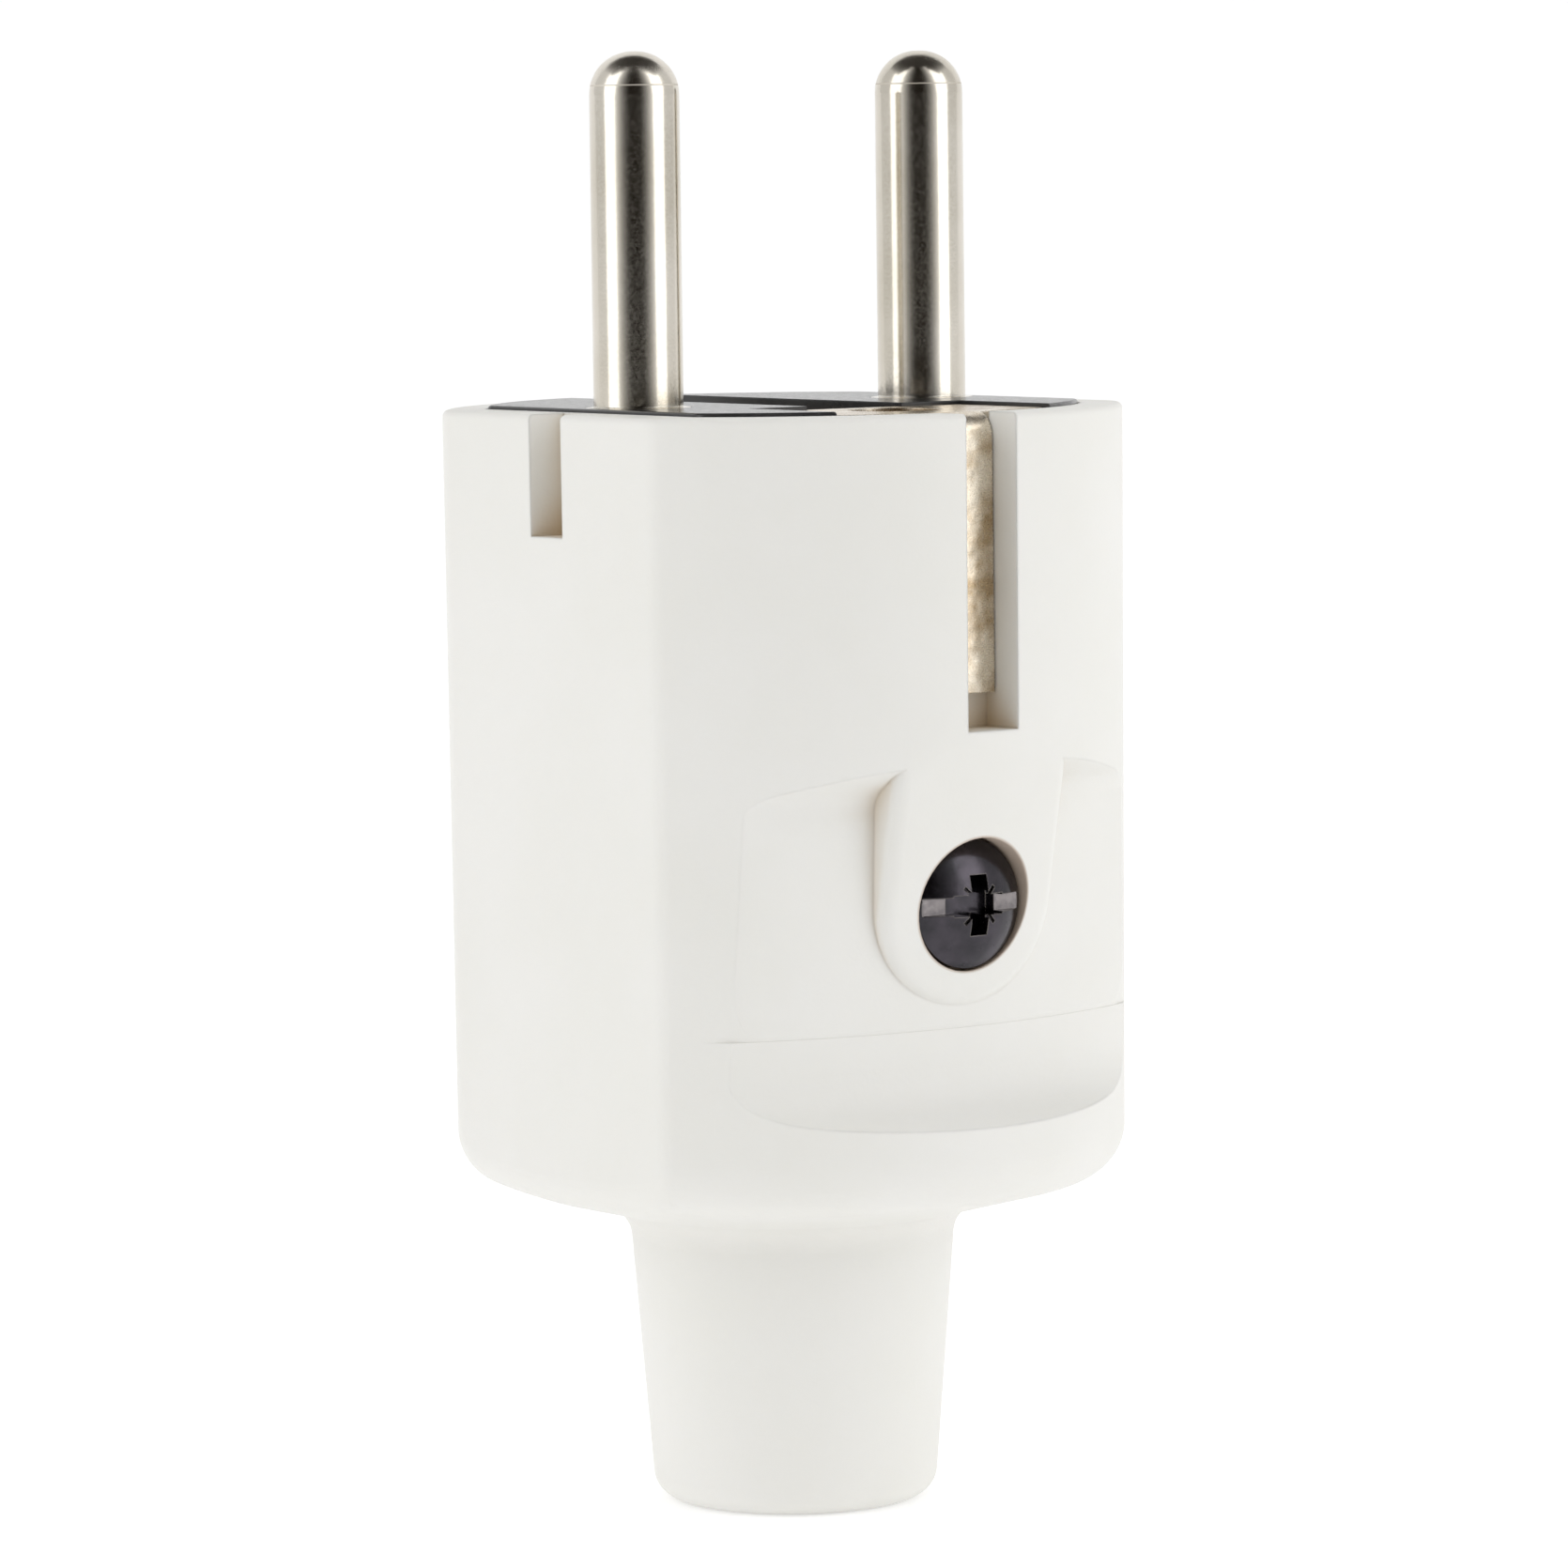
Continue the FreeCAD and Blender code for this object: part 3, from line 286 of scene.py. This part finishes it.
@dataclass(frozen=True)
class PaintedHollowShade:
    """Painted warm shade, laid where close walls face each other."""

    colour: str
    reach_mm: float
    samples: int = 6
    open_ends: Span = (0.8, 0.15)

    def over(self, tree: Tree, colour: Socket, calm: object) -> Socket:
        """Lay the painted shade over a colour.

        Args:
            tree: Node tree that takes the nodes.
            colour: Colour in the open.
            calm: Mask that is zero where no painted shade is laid.

        Returns:
            The colour with the painted shade.
        """
        settings = {"samples": self.samples, "only_local": True}
        # The less of the room a point sees, the more warm shade is painted on it.
        opening = add_node(tree, "ShaderNodeAmbientOcclusion", settings, {
            "Distance": self.reach_mm * MM}).outputs["AO"]
        share = maths(tree, "MULTIPLY", calm, ranged(tree, opening, self.open_ends, FULL))
        return mixed(tree, share, colour, linear(self.colour))


@dataclass(frozen=True)
class PaintedBoreShade:
    """Painted brown shade on the wall of the housing screw's bore, next to the screw's head."""

    colour: str
    strength: float
    radius_mm: float
    inner_mm: float = 0.02
    outer_mm: float = 0.12
    ahead_mm: float = 1.0

    def over(self, tree: Tree, colour: Socket) -> Socket:
        """Lay the painted shade over a colour, round the screw's axis and along its length.

        Args:
            tree: Node tree that takes the nodes.
            colour: Colour of the plastic without the shade.

        Returns:
            The colour with the painted shade.
        """
        low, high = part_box("housing_screw")
        place = vectors(tree, "SUBTRACT", place_in_row(tree), (0.0, 0.0, (low.z + high.z) / 2)).outputs[0]
        place = vectors(tree, "MULTIPLY", place, (1.0, 0.0, 1.0)).outputs[0]
        reach = vectors(tree, "LENGTH", place).outputs["Value"]
        ends = ((self.radius_mm + self.outer_mm) * MM, (self.radius_mm - self.inner_mm) * MM)
        near = ranged(tree, reach, ends, (0.0, self.strength))
        share = maths(tree, "MULTIPLY", near, inside(tree, "Y", low.y - self.ahead_mm * MM, high.y))
        return mixed(tree, share, colour, linear(self.colour))


@dataclass(frozen=True)
class PaintedSlotReflection:
    """Painted reflection: lighter grey patches on the floor of the housing screw's slot."""

    colour: str
    from_end_mm: float
    half_width_mm: float = 0.46
    half_depth_mm: float = 0.02
    patch_mm: float = 0.5
    patch_ends: Span = (0.35, 0.6)
    reflection_share: Span = (0.55, 1.0)

    def over(self, tree: Tree, colour: Socket) -> Socket:
        """Lay the painted reflection's patches over a colour.

        Args:
            tree: Node tree that takes the nodes.
            colour: Colour of the finish.

        Returns:
            The colour with the painted reflection on the slot's floor.
        """
        low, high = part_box("housing_screw")
        middle, floor = (low.z + high.z) / 2, high.y - self.from_end_mm * MM
        wide, deep = self.half_width_mm * MM, self.half_depth_mm * MM
        slot = inside(tree, "Z", middle - wide, middle + wide)
        slot = maths(tree, "MULTIPLY", slot, inside(tree, "Y", floor - deep, floor + deep))
        patches = ranged(tree, noise(tree, self.patch_mm), self.patch_ends, self.reflection_share)
        return mixed(tree, maths(tree, "MULTIPLY", slot, patches), colour, linear(self.colour))


@dataclass(frozen=True)
class TurnedEnd:
    """Dull turned line round a pin, and the streaks of the tool on the end above it."""

    tip_z: float
    below_tip_mm: float
    half_line_mm: float = 0.035
    line_roughness: float = 0.45
    end_roughness: float = 0.1
    run_in_mm: float = 0.1
    streak_mm: float = 0.9
    streak_detail: float = 5.0
    streak_ends: Span = (0.4, 0.65)
    streak_share: Span = (0.2, 1.6)

    def over(self, tree: Tree, rough: Socket) -> Socket:
        """Roughen the line and, more gently, the end above it.

        Args:
            tree: Node tree that takes the nodes.
            rough: Roughness so far.

        Returns:
            The roughness with both.
        """
        line_z, half = self.tip_z - self.below_tip_mm * MM, self.half_line_mm * MM
        run_in = (line_z, line_z + self.run_in_mm * MM)
        above = ranged(tree, axis(tree, "Z"), run_in, (0.0, self.end_roughness))
        streaks = noise(tree, self.streak_mm, Grain.ROUND_Z, self.streak_detail)
        above = maths(tree, "MULTIPLY", above, ranged(tree, streaks, self.streak_ends, self.streak_share))
        line = inside(tree, "Z", line_z - half, line_z + half)
        line = ranged(tree, line, FULL, (0.0, self.line_roughness))
        return maths(tree, "ADD", maths(tree, "ADD", rough, above), line)


@dataclass(frozen=True)
class MouldedPlastic:
    """Injection-moulded plastic: clouded as it flowed, rubbed at its edges, grained by the mould."""

    name: str
    colour: str
    shade: str
    edge: str
    roughness: float
    grain_mm: float
    grain_depth_mm: float
    flow_mm: float = 9.0
    edge_mm: float = 0.12
    translucence: float = 0.0
    calm_z: Span | None = None
    hollow_shade: PaintedHollowShade | None = None
    bore_shade: PaintedBoreShade | None = None
    flow_ends: Span = (0.35, 0.65)
    rubs_per_flow: float = 6.0
    rub_ends: Span = (0.4, 0.6)
    rub_share: Span = (0.1, 0.7)
    grain_detail: float = 4.0
    roughness_swing: float = 0.05
    ior: float = 1.5
    scatter: tuple[float, float, float] = (1.0, 0.9, 0.75)
    scatter_mm: float = 1.2

    def calm(self, tree: Tree) -> object:
        """Mark where edges and the painted hollow shade are drawn.

        Args:
            tree: Node tree that takes the nodes.

        Returns:
            One, or a mask that is zero between the calm heights.
        """
        if not self.calm_z:
            return 1.0
        return ranged(tree, inside(tree, "Z", *self.calm_z), FULL, (1.0, 0.0))

    def build(self) -> bpy.types.Material:
        """Make the material.

        Returns:
            The finished material.
        """
        material, tree = new_tree(self.name)
        flow = ranged(tree, noise(tree, self.flow_mm), self.flow_ends, FULL)
        colour = mixed(tree, flow, linear(self.colour), linear(self.shade))
        calm = self.calm(tree)
        normal, edges = edge_mask(tree, maths(tree, "MULTIPLY", calm, self.edge_mm * MM))
        rubs = ranged(tree, noise(tree, self.flow_mm / self.rubs_per_flow), self.rub_ends, self.rub_share)
        colour = mixed(tree, maths(tree, "MULTIPLY", edges, rubs), colour, linear(self.edge))
        # Painted warm shade in narrow hollows.
        if self.hollow_shade:
            colour = self.hollow_shade.over(tree, colour, calm)
        # Painted brown shade on the wall of the screw's bore.
        if self.bore_shade:
            colour = self.bore_shade.over(tree, colour)
        grain = noise(tree, self.grain_mm, detail=self.grain_detail)
        rough = (self.roughness + self.roughness_swing, self.roughness - self.roughness_swing)
        surface(tree, "ShaderNodeBsdfPrincipled", {
            "Base Color": colour, "Roughness": ranged(tree, grain, NOISE_ENDS, rough), "IOR": self.ior,
            "Normal": bumped(tree, normal, grain, self.grain_depth_mm),
            "Subsurface Weight": self.translucence, "Subsurface Radius": self.scatter,
            "Subsurface Scale": self.scatter_mm * MM,
        })
        return material


@dataclass(frozen=True)
class WorkedMetal:
    """Metal whose surface keeps the marks of how it was turned, rolled, pressed or plated."""

    name: str
    colour: str
    tint: str
    edge: str
    roughness: float
    grain: Grain = Grain.EVEN
    grain_mm: float = 0.15
    grain_depth_mm: float = 0.002
    dent_mm: float = 2.5
    dent_depth_mm: float = 0.004
    edge_mm: float = 0.1
    turned_end: TurnedEnd | None = None
    slot_reflection: PaintedSlotReflection | None = None
    tints_per_dent: float = 1.3
    tint_ends: Span = (0.38, 0.66)
    tint_detail: float = 5.0
    dent_detail: float = 1.0
    roughness_swing: Span = (0.8, 1.25)

    def build(self) -> bpy.types.Material:
        """Make the material.

        Returns:
            The finished material.
        """
        material, tree = new_tree(self.name)
        tint = noise(tree, self.dent_mm * self.tints_per_dent, detail=self.tint_detail)
        tint = ranged(tree, tint, self.tint_ends, FULL)
        colour = mixed(tree, tint, linear(self.colour), linear(self.tint))
        normal, edges = edge_mask(tree, self.edge_mm * MM)
        colour = mixed(tree, edges, colour, linear(self.edge))
        # Painted reflection: lighter grey patches on the floor of the screw's slot.
        if self.slot_reflection:
            colour = self.slot_reflection.over(tree, colour)
        dents = noise(tree, self.dent_mm, detail=self.dent_detail)
        grain = noise(tree, self.grain_mm, self.grain)
        normal = bumped(tree, bumped(tree, normal, dents, self.dent_depth_mm), grain, self.grain_depth_mm)
        low, high = self.roughness_swing
        rough = ranged(tree, grain, NOISE_ENDS, (self.roughness * low, self.roughness * high))
        if self.turned_end:
            rough = self.turned_end.over(tree, rough)
        surface(tree, "ShaderNodeBsdfPrincipled", {
            "Base Color": colour, "Metallic": 1.0, "Roughness": rough, "Normal": normal})
        return material


def finishes() -> dict[Slot, MouldedPlastic | WorkedMetal]:
    """List the finish of each material slot.

    Returns:
        One finish for each slot.
    """
    tip_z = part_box("pin_left")[1].z
    return {
        # The mould's spark-eroded grain breaks up reflections, so the white looks silky and even. Warm
        # shade is painted into narrow hollows, and brown shade on the wall of the screw's bore.
        Slot.HOOD: MouldedPlastic(
            "polyamide_white_spark_eroded", "e9e8e4", "e7e6e1", "ebeae6", 0.52, grain_mm=0.22,
            grain_depth_mm=0.012, edge_mm=0.25, translucence=0.08, calm_z=CALM_Z,
            hollow_shade=PaintedHollowShade("cbb28c", reach_mm=2.6), bore_shade=PaintedBoreShade("ae8862", strength=0.55, radius_mm=3.6)),
        # Glass fibres near the skin leave the black a little grey, and a low light silvers it.
        Slot.CARRIER: MouldedPlastic(
            "polyamide_black_glass_filled", "29292a", "323232", "4a4a49", 0.22, grain_mm=0.3,
            grain_depth_mm=0.002, flow_mm=4.0),
        # Barrel-plated nickel over turned brass: satin, with a dull turned line and streaks near the tip.
        Slot.PIN: WorkedMetal(
            "brass_turned_satin_nickel", "dcd6cb", "c8c1b2", "e2dfd7", 0.15, grain_mm=0.16,
            grain_depth_mm=0.0012, dent_mm=6.0, dent_depth_mm=0.003,
            turned_end=TurnedEnd(tip_z, below_tip_mm=1.8)),
        # Pressed strip keeps the sheet's waviness, so its reflections wander and turn warm.
        Slot.STRIP: WorkedMetal(
            "brass_pressed_dull_nickel", "e6dccb", "b8a385", "efe9dc", 0.27, grain_mm=0.12,
            grain_depth_mm=0.004, dent_mm=1.1, dent_depth_mm=0.05),
        # Milled brass: yellow, with the cutter's lines across it.
        Slot.BRASS: WorkedMetal(
            "brass_milled", "d5b36a", "c49e55", "e3c988", 0.26, Grain.ALONG_Y, grain_depth_mm=0.003),
        # Rolled bronze: reddish, with fine lines along the strip.
        Slot.BRONZE: WorkedMetal(
            "bronze_rolled", "bd8a5c", "a9764a", "d0a27a", 0.3, Grain.ALONG_Z, grain_mm=0.12),
        # Bright zinc plate: cool grey with a faint blue cast.
        Slot.ZINC: WorkedMetal("steel_zinc_plated", "b9bdc2", "a7adb6", "d0d3d6", 0.27, grain_mm=0.18),
        # Blackened and oiled steel: half gloss, brownish where the black has rubbed thin, with a painted
        # reflection in lighter grey on the floor of the slot.
        Slot.BLACK: WorkedMetal(
            "steel_blackened_oiled", "3b3a3d", "4e4a50", "807b76", 0.22, grain_mm=0.25, dent_mm=1.4,
            dent_depth_mm=0.02, slot_reflection=PaintedSlotReflection("827d7d", from_end_mm=12.1)),
    }


@dataclass
class Dresser:
    """Gives each piece the material of its slot."""

    made: dict[Slot, bpy.types.Material] = field(init=False)

    def __post_init__(self) -> None:
        """Build every finish once."""
        self.made = {slot: finish.build() for slot, finish in finishes().items()}

    def dress(self, node: str, slot: Slot) -> None:
        """Give a CAD node its material.

        Args:
            node: Name of the CAD node.
            slot: Its material slot.
        """
        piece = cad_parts[node]
        piece.data.materials.clear()
        piece.data.materials.append(self.made[slot])
        LOG.info("%s: %s", node, slot.value)


@dataclass
class Housing:
    """White hood with its black domed screw and the screw's nut."""

    dresser: Dresser

    def build(self) -> None:
        """Dress the hood and its fastening."""
        self.dresser.dress("hood", Slot.HOOD)
        self.dresser.dress("housing_screw", Slot.BLACK)
        self.dresser.dress("housing_screw_nut", Slot.ZINC)


@dataclass
class ContactInsert:
    """Black carrier, the two pins with their terminals, and the plate that holds them."""

    dresser: Dresser
    sides: tuple[str, str] = ("left", "right")

    def build(self) -> None:
        """Dress the carrier and what it holds for the two current poles."""
        self.dresser.dress("contact_carrier", Slot.CARRIER)
        self.dresser.dress("pin_retainer", Slot.CARRIER)
        self.dresser.dress("pin_retainer_screw", Slot.ZINC)
        for side in self.sides:
            self.dresser.dress(f"pin_{side}", Slot.PIN)
            self.dresser.dress(f"pin_terminal_screw_{side}", Slot.ZINC)
            self.dresser.dress(f"pressure_leaf_{side}", Slot.BRONZE)


@dataclass
class EarthContact:
    """Bent stirrup with its sleeve, rivet and screw terminal."""

    dresser: Dresser

    def build(self) -> None:
        """Dress the earth contact and its terminal."""
        for node in ("earth_stirrup", "earth_socket_sleeve", "earth_rivet"):
            self.dresser.dress(node, Slot.STRIP)
        self.dresser.dress("earth_terminal_block", Slot.BRASS)
        for node in ("earth_sleeve_spring", "earth_clamp_plate", "earth_terminal_screw"):
            self.dresser.dress(node, Slot.ZINC)


@dataclass
class CordClamp:
    """Saddle and its two screws, which grip the cord on the carrier's cradle."""

    dresser: Dresser
    sides: tuple[str, str] = ("left", "right")

    def build(self) -> None:
        """Dress the clamp."""
        self.dresser.dress("cord_clamp_saddle", Slot.CARRIER)
        for side in self.sides:
            self.dresser.dress(f"cord_clamp_screw_{side}", Slot.ZINC)


@dataclass(frozen=True)
class View:
    """Camera as it was fitted to the photograph, and directions counted from it."""

    eye_mm: tuple[float, float, float] = (-229.08, -310.09, 73.17)
    turn_deg: float = 36.43
    down_deg: float = 5.08
    roll_deg: float = -0.73
    lens_mm: float = 163.9
    sensor_mm: float = 36.0
    clip: Span = (0.01, 20.0)
    middle_mm: float = 40.0

    def ahead(self) -> Vector:
        """Give the level direction from the camera to the object."""
        return Vector((-self.eye_mm[0], -self.eye_mm[1], 0.0)).normalized()

    def aside(self) -> Vector:
        """Give the level direction to the camera's right."""
        ahead = self.ahead()
        return Vector((ahead.y, -ahead.x, 0.0))

    def middle(self) -> Vector:
        """Give the middle of the object, where the lights point."""
        return Vector((0.0, 0.0, self.middle_mm * MM))

    def place(self, turn_deg: float, lift_deg: float, distance: float) -> Vector:
        """Find a point round the object, counted from the camera's side.

        Args:
            turn_deg: Angle to the camera's right.
            lift_deg: Angle above the floor.
            distance: Metres from the middle of the object.

        Returns:
            The point.
        """
        turned = Matrix.Rotation(math.radians(turn_deg), 3, "Z") @ -self.ahead()
        lift = math.radians(lift_deg)
        height = math.sin(lift) * distance + self.middle_mm * MM
        return turned * (math.cos(lift) * distance) + Vector((0.0, 0.0, height))

    def build(self) -> None:
        """Set the camera, and colours as they are."""
        data = bpy.data.cameras.new("camera")
        data.lens = self.lens_mm
        data.sensor_width = self.sensor_mm
        data.clip_start, data.clip_end = self.clip
        camera = bpy.data.objects.new("camera", data)
        turn = (Matrix.Rotation(math.radians(-self.turn_deg), 4, "Z")
                @ Matrix.Rotation(math.radians(90 - self.down_deg), 4, "X")
                @ Matrix.Rotation(math.radians(self.roll_deg), 4, "Z"))
        camera.matrix_world = Matrix.Translation(Vector(self.eye_mm) * MM) @ turn
        bpy.context.scene.collection.objects.link(camera)
        bpy.context.scene.camera = camera
        bpy.context.scene.view_settings.view_transform = "Standard"


@dataclass(frozen=True)
class Backdrop:
    """White paper, level under the object and curved up into a wall behind it, with sizes in metres."""

    view: View
    half_width: float = 2.5
    near: float = 2.5
    far: float = 1.0
    radius: float = 0.8
    height: float = 2.5
    steps: int = 24
    colour: str = "ededed"
    shade: str = "ebebeb"
    cloud_mm: float = 40.0
    roughness: float = 0.9
    glow: float = 0.31

    def profile(self) -> list[Span]:
        """List the sweep's distances behind the object with their heights.

        Returns:
            Points from the near edge to the top.
        """
        points = [(-self.near, 0.0)]
        for index in range(self.steps + 1):
            turn = math.radians(90 * index / self.steps)
            points.append((self.far + self.radius * math.sin(turn), self.radius * (1 - math.cos(turn))))
        return points + [(self.far + self.radius, self.height)]

    def paper(self) -> bpy.types.Material:
        """Make the paper, which glows a little so that it burns out to white.

        Returns:
            The material.
        """
        material, tree = new_tree("paper_white_matt")
        clouds = ranged(tree, noise(tree, self.cloud_mm), NOISE_ENDS, FULL)
        surface(tree, "ShaderNodeBsdfPrincipled", {
            "Base Color": mixed(tree, clouds, linear(self.colour), linear(self.shade)),
            "Roughness": self.roughness, "Emission Color": linear(WHITE), "Emission Strength": self.glow,
        })
        return material

    def build(self) -> None:
        """Build the sweep."""
        ahead, aside = self.view.ahead(), self.view.aside()
        mesh = bmesh.new()
        rows = []
        for along, height in self.profile():
            centre = ahead * along + Vector((0.0, 0.0, height))
            rows.append([mesh.verts.new(centre + aside * (side * self.half_width)) for side in (-1, 1)])
        for low, high in zip(rows, rows[1:]):
            mesh.faces.new((low[0], low[1], high[1], high[0])).smooth = True
        data = bpy.data.meshes.new("paper_sweep")
        mesh.to_mesh(data)
        mesh.free()
        sweep = bpy.data.objects.new("paper_sweep", data)
        bpy.context.scene.collection.objects.link(sweep)
        data.materials.append(self.paper())


@dataclass(frozen=True)
class SoftBox:
    """Upright rectangular light that points at the object, with sizes in metres."""

    view: View
    name: str
    turn_deg: float
    watts: float
    lift_deg: float = 29.0
    distance: float = 0.8
    size: Span = (0.5, 1.0)

    def build(self) -> None:
        """Hang the light."""
        data = bpy.data.lights.new(self.name, "AREA")
        data.shape = "RECTANGLE"
        data.size, data.size_y = self.size
        data.energy = self.watts
        light = bpy.data.objects.new(self.name, data)
        light.location = self.view.place(self.turn_deg, self.lift_deg, self.distance)
        light.rotation_mode = "QUATERNION"
        light.rotation_quaternion = (self.view.middle() - light.location).to_track_quat("-Z", "Y")
        bpy.context.scene.collection.objects.link(light)


@dataclass(frozen=True)
class DarkCards:
    """Dark felt behind the camera and over the plug, for the pins to mirror, with sizes in metres."""

    view: View
    colour: str = "221e1a"
    faded: str = "fafafa"
    steps: int = 32
    distance: float = 0.6
    half_turn_deg: float = 48.0
    dark_turn_deg: float = 10.0
    card_height: float = 0.24
    card_fade_power: int = 2
    cover_height: float = 0.62
    cover_bend: float = 0.75
    cover_end: float = 0.3
    ceiling_reach: float = 0.4
    ceiling_half_width: float = 0.6
    ceiling_fade: Span = (0.02, 0.6)
    ceiling_fade_power: int = 4

    def build(self) -> None:
        """Stand the card, lead it up to its cover, and hang the ceiling that goes on from there."""
        material = self.felt()
        far, low, high = self.distance, self.card_height, self.cover_height
        bend = (self.cover_bend * far, self.cover_bend * high)
        self.bent("dark_card", material, ((far, 0.0), (far, low)))
        cover = self.bent("dark_cover", material, ((far, low), bend, (self.cover_end * far, high)))
        for piece in (cover, self.ceiling(material)):
            piece.visible_diffuse = False

    def felt(self) -> bpy.types.Material:
        """Make the dark felt, which pales with the vertices' fade.

        Returns:
            The material.
        """
        material, tree = new_tree("card_black_felt_faded")
        share = add_node(tree, "ShaderNodeAttribute", {"attribute_name": "fade"}).outputs["Fac"]
        surface(tree, "ShaderNodeBsdfDiffuse", {
            "Color": mixed(tree, share, linear(self.colour), linear(self.faded))})
        return material

    def across(self) -> list[float]:
        """List the steps across a card, from minus one at its left end to one at its right."""
        return [2 * index / self.steps - 1 for index in range(self.steps + 1)]

    def bent(self, name: str, material: bpy.types.Material, profile: tuple[Span, ...]) -> bpy.types.Object:
        """Bend one card round the object, dark in the middle and pale at its ends.

        Args:
            name: Name of the card.
            material: Its material.
            profile: Distances from the object's middle with heights, from the lowest up.

        Returns:
            The card.
        """
        rows = []
        for side in self.across():
            turn = self.half_turn_deg * side
            share = (abs(turn) - self.dark_turn_deg) / (self.half_turn_deg - self.dark_turn_deg)
            points = []
            for distance, height in profile:
                foot = self.view.place(turn, 0.0, distance)
                points.append(Vector((foot.x, foot.y, height)))
            rows.append((points, max(share, 0.0) ** self.card_fade_power))
        return self.stand(name, material, rows)

    def ceiling(self, material: bpy.types.Material) -> bpy.types.Object:
        """Hang the level cover over the plug, which the pins' round ends mirror.

        Args:
            material: Its material.

        Returns:
            The cover.
        """
        ahead, aside = self.view.ahead(), self.view.aside()
        middle, gain = self.ceiling_fade
        rows = []
        for side in self.across():
            level = aside * (side * self.ceiling_half_width)
            ends = (-self.cover_end * self.distance, self.ceiling_reach)
            points = [ahead * along + level + Vector((0.0, 0.0, self.cover_height)) for along in ends]
            rows.append((points, middle + gain * abs(side) ** self.ceiling_fade_power))
        return self.stand("dark_ceiling", material, rows)

    def stand(
        self, name: str, material: bpy.types.Material, rows: list[tuple[list[Vector], float]],
    ) -> bpy.types.Object:
        """Span rows of points into a piece of the stage that the camera doesn't see.

        Args:
            name: Name of the piece.
            material: Its material.
            rows: Points of each row, with the row's fade.

        Returns:
            The piece.
        """
        mesh = bmesh.new()
        fade = mesh.verts.layers.float.new("fade")
        spans = []
        for points, share in rows:
            spans.append([])
            for point in points:
                spans[-1].append(mesh.verts.new(point))
                spans[-1][-1][fade] = share
        for left, right in zip(spans, spans[1:]):
            for index in range(len(left) - 1):
                mesh.faces.new((left[index], right[index], right[index + 1], left[index + 1]))
        data = bpy.data.meshes.new(name)
        mesh.to_mesh(data)
        mesh.free()
        piece = bpy.data.objects.new(name, data)
        bpy.context.scene.collection.objects.link(piece)
        piece.visible_camera = False
        data.materials.append(material)
        return piece


@dataclass
class Studio:
    """White room with a paper sweep, two soft boxes, dark cards for the pins to mirror, and the camera."""

    view: View = View()
    room_light: float = 0.74

    def build(self) -> None:
        """Set up the whole studio."""
        Backdrop(self.view).build()
        self.room()
        SoftBox(self.view, "soft_box_left", turn_deg=-65.0, watts=2.0).build()
        SoftBox(self.view, "soft_box_right", turn_deg=65.0, watts=2.2).build()
        DarkCards(self.view).build()
        self.view.build()

    def room(self) -> None:
        """Fill the room with even white light."""
        world = bpy.data.worlds.new("white_room")
        bpy.context.scene.world = world
        world.use_nodes = True
        world.node_tree.nodes.clear()
        glow = add_node(world.node_tree, "ShaderNodeBackground", inputs={
            "Color": linear(WHITE), "Strength": self.room_light}).outputs[0]
        add_node(world.node_tree, "ShaderNodeOutputWorld", inputs={"Surface": glow})


def main() -> None:
    """Build the looks of the plug and the studio round it."""
    logging.basicConfig(level=logging.INFO, format="%(name)s: %(message)s")
    dresser = Dresser()
    for part in (Housing(dresser), ContactInsert(dresser), EarthContact(dresser), CordClamp(dresser)):
        part.build()
    Studio().build()


if __name__ == "__main__":
    main()
